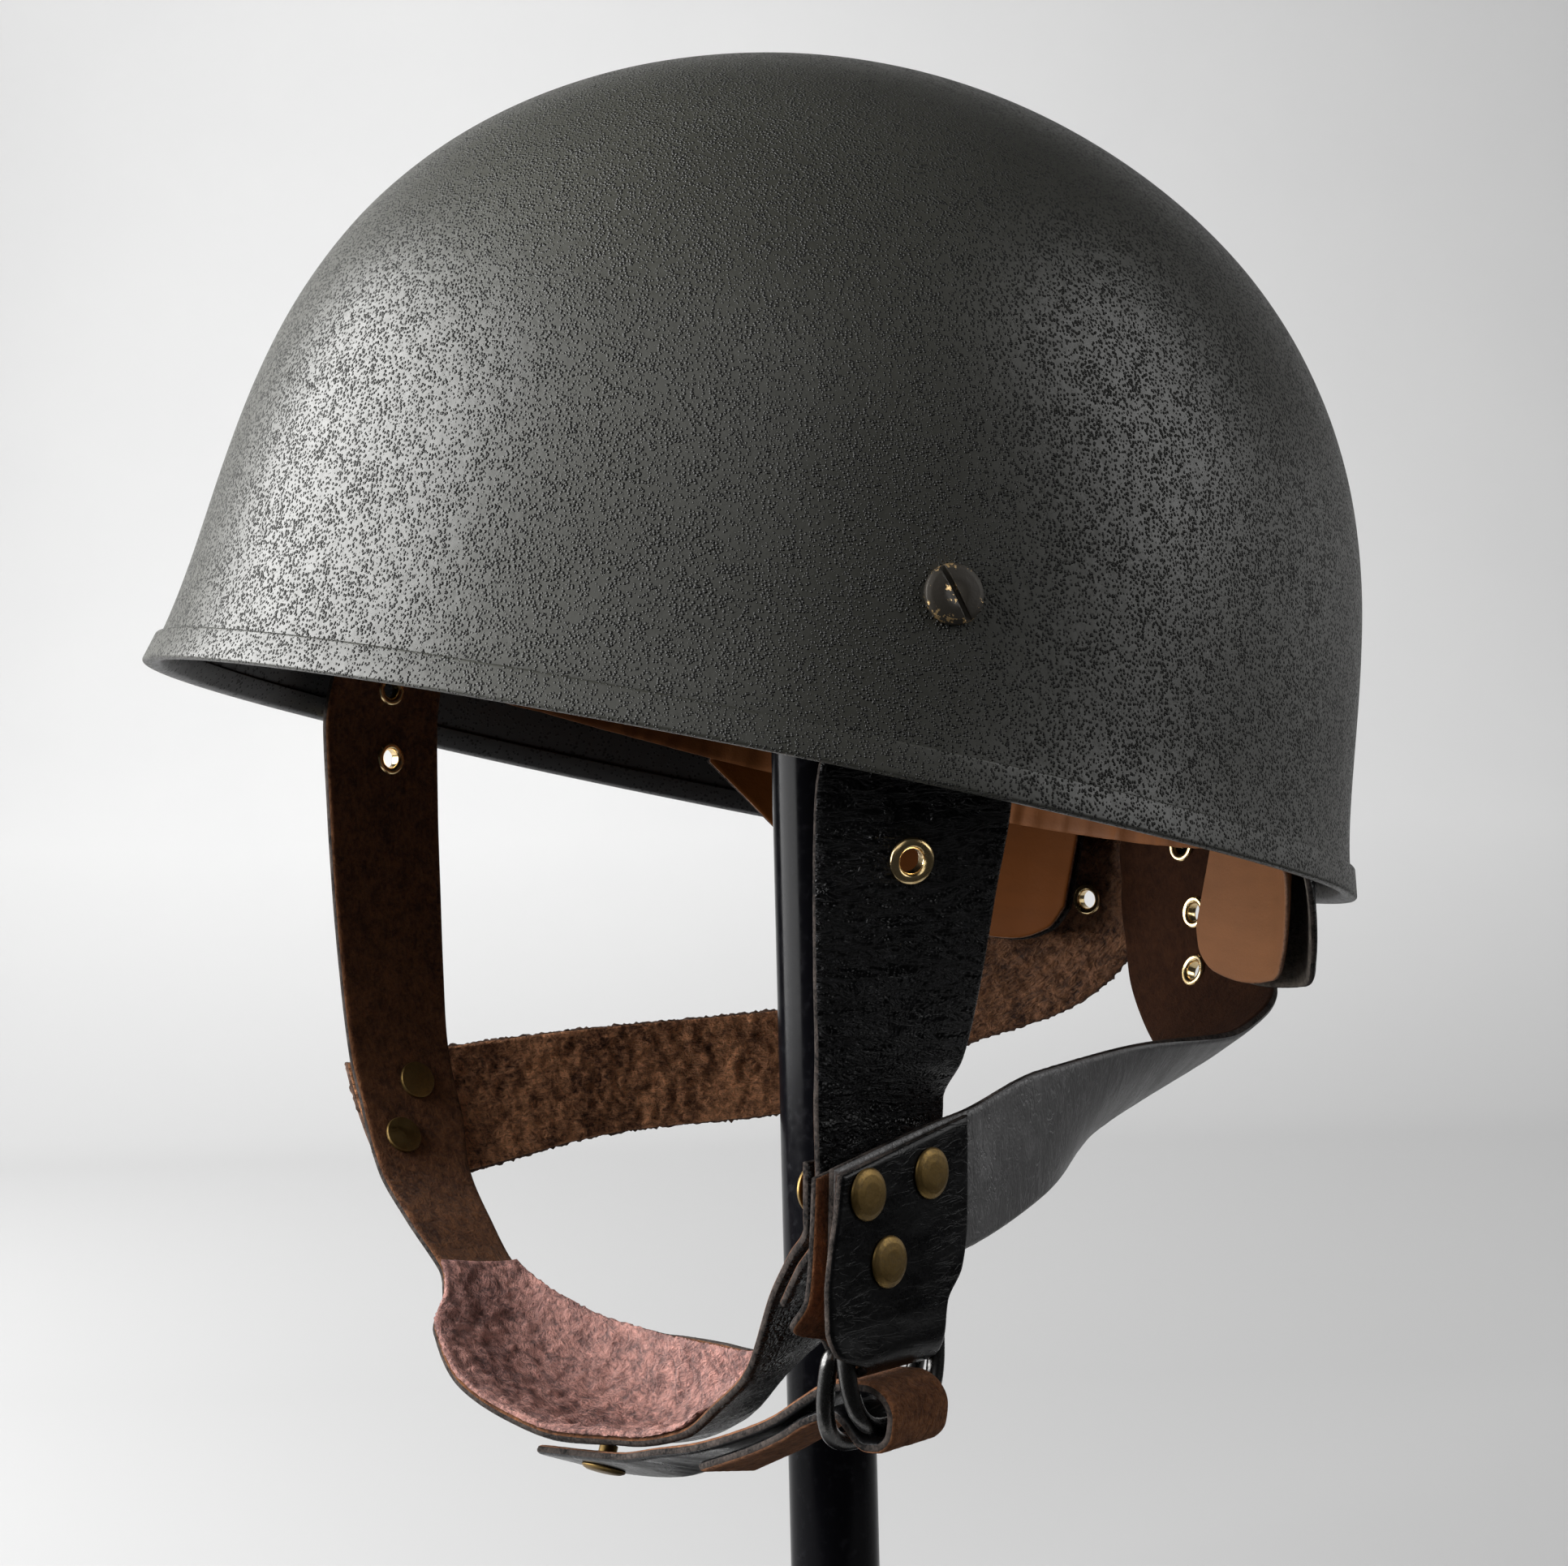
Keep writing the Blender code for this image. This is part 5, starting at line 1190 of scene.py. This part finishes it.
def build_ring(name):
    """A wire ring: a straight bar with rounded corners, and the bow that hangs from it."""
    bar_outward, bar_up, swing = RING_BARS[name]
    tilt = math.radians(swing)
    path = []
    for k in range(RING_STEPS):
        turn = 2 * math.pi * k / RING_STEPS
        across = RING_HALF * math.copysign(abs(math.cos(turn)) ** 0.6, math.cos(turn))
        if math.sin(turn) >= 0.0:
            down = RING_CORNER + (RING_DEPTH - RING_CORNER) * math.sin(turn) ** 0.75
        else:
            down = RING_CORNER - RING_CORNER * abs(math.sin(turn)) ** 0.5
        path.append(stack_point(bar_outward - down * math.sin(tilt), RING_MIDDLE + across,
                                bar_up - down * math.cos(tilt)))
    loop = np.array(path + path[:1])
    lengths = np.concatenate([[0.0], np.cumsum(np.linalg.norm(np.diff(loop, axis=0), axis=1))])
    at = np.linspace(0.0, lengths[-1], RING_STEPS, endpoint=False)
    path = np.stack([np.interp(at, lengths, loop[:, c]) for c in range(3)], axis=1)
    for _ in range(3):
        path = (np.roll(path, 1, axis=0) + 2 * path + np.roll(path, -1, axis=0)) / 4
    ahead = np.roll(path, -1, axis=0) - np.roll(path, 1, axis=0)
    ahead /= np.linalg.norm(ahead, axis=1, keepdims=True)
    flat = np.linalg.svd(path - path.mean(axis=0))[2][2]
    side = np.cross(flat, ahead)
    turns = np.linspace(0.0, 2 * math.pi, RING_SIDES, endpoint=False)
    points = (path[:, None] + RING_WIRE * (np.cos(turns)[None, :, None] * side[:, None]
                                           + np.sin(turns)[None, :, None] * flat))
    piece(name + "_wire", points.reshape(-1, 3), tube_faces(RING_STEPS, RING_SIDES), ["ring"],
          [name])


def build_rivet(name, centre, axis, front, back, capped):
    """A domed cap on its shank, with a plain cap behind or none."""
    top, low = front + 0.02, back - 0.02
    profile = [(0.0, top + 1.25), (2.2, top + 1.22), (3.7, top + 1.05), (4.6, top + 0.65),
               (RIVET_CAP, top + 0.25), (RIVET_CAP - 0.25, top - 0.05), (RIVET_SHANK, top - 0.05),
               (RIVET_SHANK, low)]
    if capped:
        profile += [(RIVET_CAP - 0.2, low), (RIVET_CAP - 0.4, low - 0.8), (0.0, low - 1.1)]
    else:
        profile.append((0.0, low))
    lathe(name + "_cap", name, profile, 56, centre, axis, "brass", 0.25)


def build_eyelet(name, strip, place):
    """Returns the hole that the eyelet needs in its strap."""
    centre, axis, high, low = strip.seat(place, EYELET_HOLE + 0.8)
    face = strip.thickness / 2
    top, bottom = high + face - 0.1, low - face + 0.1
    profile = [(EYELET_OUTER, top - 0.15), (EYELET_OUTER - 0.15, top + 0.45),
               (EYELET_OUTER - 0.9, top + 0.85), (EYELET_HOLE + 0.55, top + 0.75), (EYELET_HOLE, top + 0.1),
               (EYELET_HOLE, bottom - 0.2), (EYELET_HOLE + 0.5, bottom - 0.65),
               (EYELET_OUTER - 0.8, bottom - 0.7), (EYELET_OUTER - 0.4, bottom - 0.2),
               (EYELET_OUTER - 0.5, bottom), (EYELET_BARREL, bottom), (EYELET_BARREL, top - 0.15)]
    lathe(name + "_brass", name, profile, 64, centre, axis, "gold", 0.3, True)
    return centre, axis, EYELET_BARREL + 0.3


def shell_crown_over(x, y):
    """Height of the shell's inside above a place, in the hung frame."""
    surface, _ = shell_surface(SHELL_WALL, 400, 90)
    points = hung_from_helmet(surface.reshape(-1, 3))
    return float(points[np.argmin(np.hypot(points[:, 0] - x, points[:, 1] - y)), 2])


def build_stand():
    x, y, floor = -RIM_CENTRE[0], -RIM_CENTRE[1], -RIM_CENTRE[2]
    top = shell_crown_over(x, y) - HEAD_CLEAR
    foot, tip = floor + BASE_THICK + 0.02, top - HEAD_THICK - 0.02
    base = [(0.0, BASE_THICK), (BASE_RADIUS - 3.0, BASE_THICK), (BASE_RADIUS, BASE_THICK - 2.5),
            (BASE_RADIUS, 0.8), (BASE_RADIUS - 0.8, 0.0), (0.0, 0.0)]
    head = []
    for k in range(9):
        radius = HEAD_RADIUS * k / 8
        head.append((radius, -HEAD_DOME + math.sqrt(HEAD_DOME**2 - radius ** 2)))
    head += [(HEAD_RADIUS, head[-1][1] - 2.5), (POLE_RADIUS + 3.0, -HEAD_THICK), (0.0, -HEAD_THICK)]
    pole = [(0.0, tip - foot), (POLE_RADIUS, tip - foot), (POLE_RADIUS, 0.0), (0.0, 0.0)]
    for name, node, profile, sides, height, fillet in (
            ("stand_foot_plate", "stand_base", base, 180, floor, 1.2),
            ("stand_rest", "stand_head", head, 96, top, 0.8),
            ("stand_tube", "stand_pole", pole, 96, foot, 0.6)):
        centre = (x, y, height)
        lathe(name, node, profile, sides, centre, (0.0, 0.0, 1.0), "stand", fillet)


# Harness

def build_harness():
    # Cells in millimetres. The coarse straps have the CAD's own sections, for what is laid against them
    coarse_left = chin_strap_left((26, 2))
    coarse_cup = chin_cup_strap(coarse_left, (42, 4))
    left = chin_strap_left(0.65)
    cup = chin_cup_strap(coarse_left, 0.8)
    nape_left = nape_strap_left(0.8)
    nape_right = nape_strap_right(coarse_cup, 0.8)
    holder = ring_holder(0.55)
    adjuster = adjusting_strap(0.6)
    build_screw("screw_left", SIDE_ANGLE, left)
    build_screw("screw_right", 360.0 - SIDE_ANGLE, cup)
    build_screw("screw_rear", REAR_ANGLE, nape_left)

    tail_back = SIDE_LEVEL - TAIL_OFFSET - LEATHER / 2 - 0.6
    holder_back = BACK_LEVEL - HOLDER_LEATHER / 2
    for number, (along, up, back) in enumerate(((-7.3, -73.2, tail_back), (10.9, -71.6, tail_back),
                                                (-1.9, -86.2, holder_back)), 1):
        build_rivet("rivet_stack_%d" % number, stack_point(0.0, along, up), STACK_AXIS, 0.0, back, True)
    for number, place in enumerate(((-96.0, -39.7, -69.6), (-91.0, -47.3, -82.7)), 1):
        centre, axis, _, low = cup.seat(place, RIVET_CAP)
        outer, _, high, _ = nape_right.seat(centre + axis * TAIL_OFFSET, RIVET_CAP)
        front = float((outer - centre) @ axis) + high + LEATHER / 2
        build_rivet("rivet_nape_%d" % number, centre, axis, front, low - LEATHER / 2, True)
    centre, axis, high, _ = adjuster.seat((1.5, -46.0, -143.4), RIVET_CAP)
    build_rivet("rivet_chin", centre, axis, high + LEATHER / 2, -CHIN_SHANK, False)

    straps = {"left": left, "right": cup, "nape_left": nape_left, "nape_right": nape_right}
    holes = {}
    for side, places in EYELETS.items():
        holes[side] = [build_eyelet("eyelet_%s_%d" % (side, number), straps[side], place)
                       for number, place in enumerate(places, 1)]

    strap = ["grain", "brown", "cut"]
    calm = ["calm", "loop", "cut"]
    sheet("chin_strap_left_leather", "chin_strap_left", left, strap,
          holes["left"], ridged(1.7, 9.0, 0.14, 11), fuzzy(1.2, 0.1, 12))
    sheet("chin_cup_leather", "chin_cup_strap", cup, strap,
          holes["right"], ridged(2.0, 16.0, 0.06, 21), fuzzy(1.3, 0.12, 22))
    sheet("nape_strap_left_leather", "nape_strap_left", nape_left, ["grain_painted_sheen", "flesh_in_painted_shade", "cut"],
          holes["nape_left"], ridged(2.2, 12.0, 0.05, 31), fuzzy(1.3, 0.12, 32))
    sheet("nape_strap_right_leather", "nape_strap_right", nape_right, ["grain", "rough", "brown_cut"],
          holes["nape_right"], ridged(2.2, 12.0, 0.05, 41), fuzzy(2.2, 1.2, 42), 1.0)
    sheet("ring_holder_leather", "ring_holder", holder, calm, (),
          ridged(5.0, 9.0, 0.08, 51), fuzzy(1.2, 0.1, 52))
    sheet("adjusting_strap_leather", "adjusting_strap", adjuster, calm, (),
          ridged(2.0, 8.0, 0.05, 61), fuzzy(1.1, 0.14, 62), 0.15)
    sheet("chin_cup_suede", "chin_cup_lining", Lining(cup), ["pink"] * 3, (),
          None, fuzzy(2.4, 1.2, 72), 0.6)
    for side, tan in (("left", "tan"), ("right", "tan_far_painted_shade")):
        sheet("neck_flap_tan_" + side, "neck_flap_lining_" + side, neck_flap(side, "lining", 1.0),
              [tan, tan, "tan_cut"], (), fuzzy(9.0, 0.12, 81), fuzzy(9.0, 0.12, 82))
        sheet("neck_flap_black_" + side, "neck_flap_cover_" + side, neck_flap(side, "cover", 1.0),
              ["grain", "grey", "cut"], (), fuzzy(9.0, 0.12, 83), fuzzy(2.0, 0.12, 84))
    for name in RING_BARS:
        build_ring(name)


build_shell()
build_rim_band()
build_sweatband()
build_harness()
build_stand()

# Camera at the photo's viewing angle; places in the hung frame

VIEW_TURN = math.radians(55.72)
VIEW_ROLL = math.radians(1.39)
EYE = (498.5, -333.9, 1.6)
LENS = 61.46
ACROSS = Vector((math.cos(VIEW_TURN), math.sin(VIEW_TURN), 0.0))
TOWARDS = Vector((math.sin(VIEW_TURN), -math.cos(VIEW_TURN), 0.0))
UP = Vector((0.0, 0.0, 1.0))
WALL_MIDDLE = tuple(-TOWARDS * 2.3 - ACROSS * 0.3 + UP * 0.45)


def add_camera():
    data = bpy.data.cameras.new("camera")
    data.lens = LENS
    data.sensor_width = 36.0
    data.clip_start = 0.01
    camera = placed("camera", data)
    right = math.cos(VIEW_ROLL) * ACROSS - math.sin(VIEW_ROLL) * UP
    top = math.sin(VIEW_ROLL) * ACROSS + math.cos(VIEW_ROLL) * UP
    turn = Matrix((right, top, TOWARDS)).transposed()
    camera.matrix_world = Matrix.Translation(Vector(world(EYE))) @ turn.to_4x4()
    bpy.context.scene.camera = camera


def add_light(name, right, forward, up, width, height, power, target=(0.0, 0.0, 0.3), spread=180.0):
    """An area light, placed to the camera's right, towards it and up, in metres."""
    data = bpy.data.lights.new(name, "AREA")
    data.shape = "RECTANGLE"
    data.size, data.size_y = width, height
    data.energy = power
    data.spread = math.radians(spread)
    light = placed(name, data)
    place = ACROSS * right + TOWARDS * forward + UP * up
    light.location = place
    light.rotation_euler = (Vector(target) - place).to_track_quat("-Z", "Y").to_euler()


# Height or distance along the backdrop's curve in metres: how far it reaches left and right
BACKDROP_EDGES = ((-0.16, 0.5, 0.24), (0.3, 0.7, 0.42), (1.2, 1.3, 0.85), (2.2, 2.2, 2.6))


def add_backdrop():
    """A pale sweep: floor, a wide curve behind the object, and an upright wall."""
    paint = Paint("backdrop_paper", 0.9)
    grain = paint.noise(6.0, 3.0)
    paper = paint.mix(paint.spread(grain, 0.3, 0.7), (0.75, 0.75, 0.75), (0.765, 0.765, 0.763))
    # painted shade: the sweep's floor is darker than its wall, and darker still towards the front
    away = paint.spread(paint.distance(-TOWARDS), 0.5, 1.3)
    floor = paint.mix(away, (0.46, 0.46, 0.46), (0.61, 0.61, 0.61))
    paint.colour(paint.mix(paint.spread(paint.distance(UP), 0.0, 0.2), floor, paper))
    bend, back, tall = 1.0, 2.2, 2.0
    front = BACKDROP_EDGES[0][0]
    outline = [(front, 0.0), (0.3, 0.0), (back - bend, 0.0)]
    for k in range(1, 25):
        turn = math.pi / 2 * k / 24
        outline.append((back - bend + bend * math.sin(turn), bend - bend * math.cos(turn)))
    outline.append((back, tall))
    edges = np.array(BACKDROP_EDGES)
    points, faces = [], []
    for distance, height in outline:
        for column, sign in ((1, -1.0), (2, 1.0)):
            reach = float(np.interp(distance, edges[:, 0], edges[:, column]))
            points.append(tuple(ACROSS * sign * reach - TOWARDS * distance + UP * height))
    for k in range(len(outline) - 1):
        faces.append((2 * k, 2 * k + 1, 2 * k + 3, 2 * k + 2))
    mesh = bpy.data.meshes.new("backdrop")
    mesh.from_pydata(points, [], faces)
    mesh.shade_smooth()
    mesh.materials.append(paint.material)
    sweep = placed("backdrop", mesh)


def add_studio():
    """Dim surroundings, which the camera sees as pale as the backdrop."""
    studio = bpy.data.worlds.new("studio")
    studio.use_nodes = True
    tree = studio.node_tree
    ray = tree.nodes.new("ShaderNodeLightPath")
    strength = tree.nodes.new("ShaderNodeMapRange")
    strength.inputs["To Min"].default_value = 0.03
    strength.inputs["To Max"].default_value = 0.7
    tree.links.new(ray.outputs["Is Camera Ray"], strength.inputs["Value"])
    tree.links.new(strength.outputs["Result"], tree.nodes["Background"].inputs["Strength"])
    tree.nodes["Background"].inputs["Color"].default_value = (1.0, 1.0, 1.0, 1.0)
    bpy.context.scene.world = studio


add_camera()
add_backdrop()
add_light("key_left", -1.2, 0.12, 0.66, 1.45, 1.35, 69.0)
add_light("weak_right", 1.45, 0.25, 0.95, 0.8, 1.2, 9.0)
add_light("low_right", 1.5, -0.7, 0.42, 0.9, 0.6, 1.2)
add_light("front_fill", -0.5, 1.9, 1.6, 2.0, 1.4, 10.5)
add_light("wall_wash", -1.2, -0.9, 2.2, 1.2, 0.6, 9.5, WALL_MIDDLE, 110.0)
add_studio()
bpy.context.scene.view_settings.view_transform = "Standard"
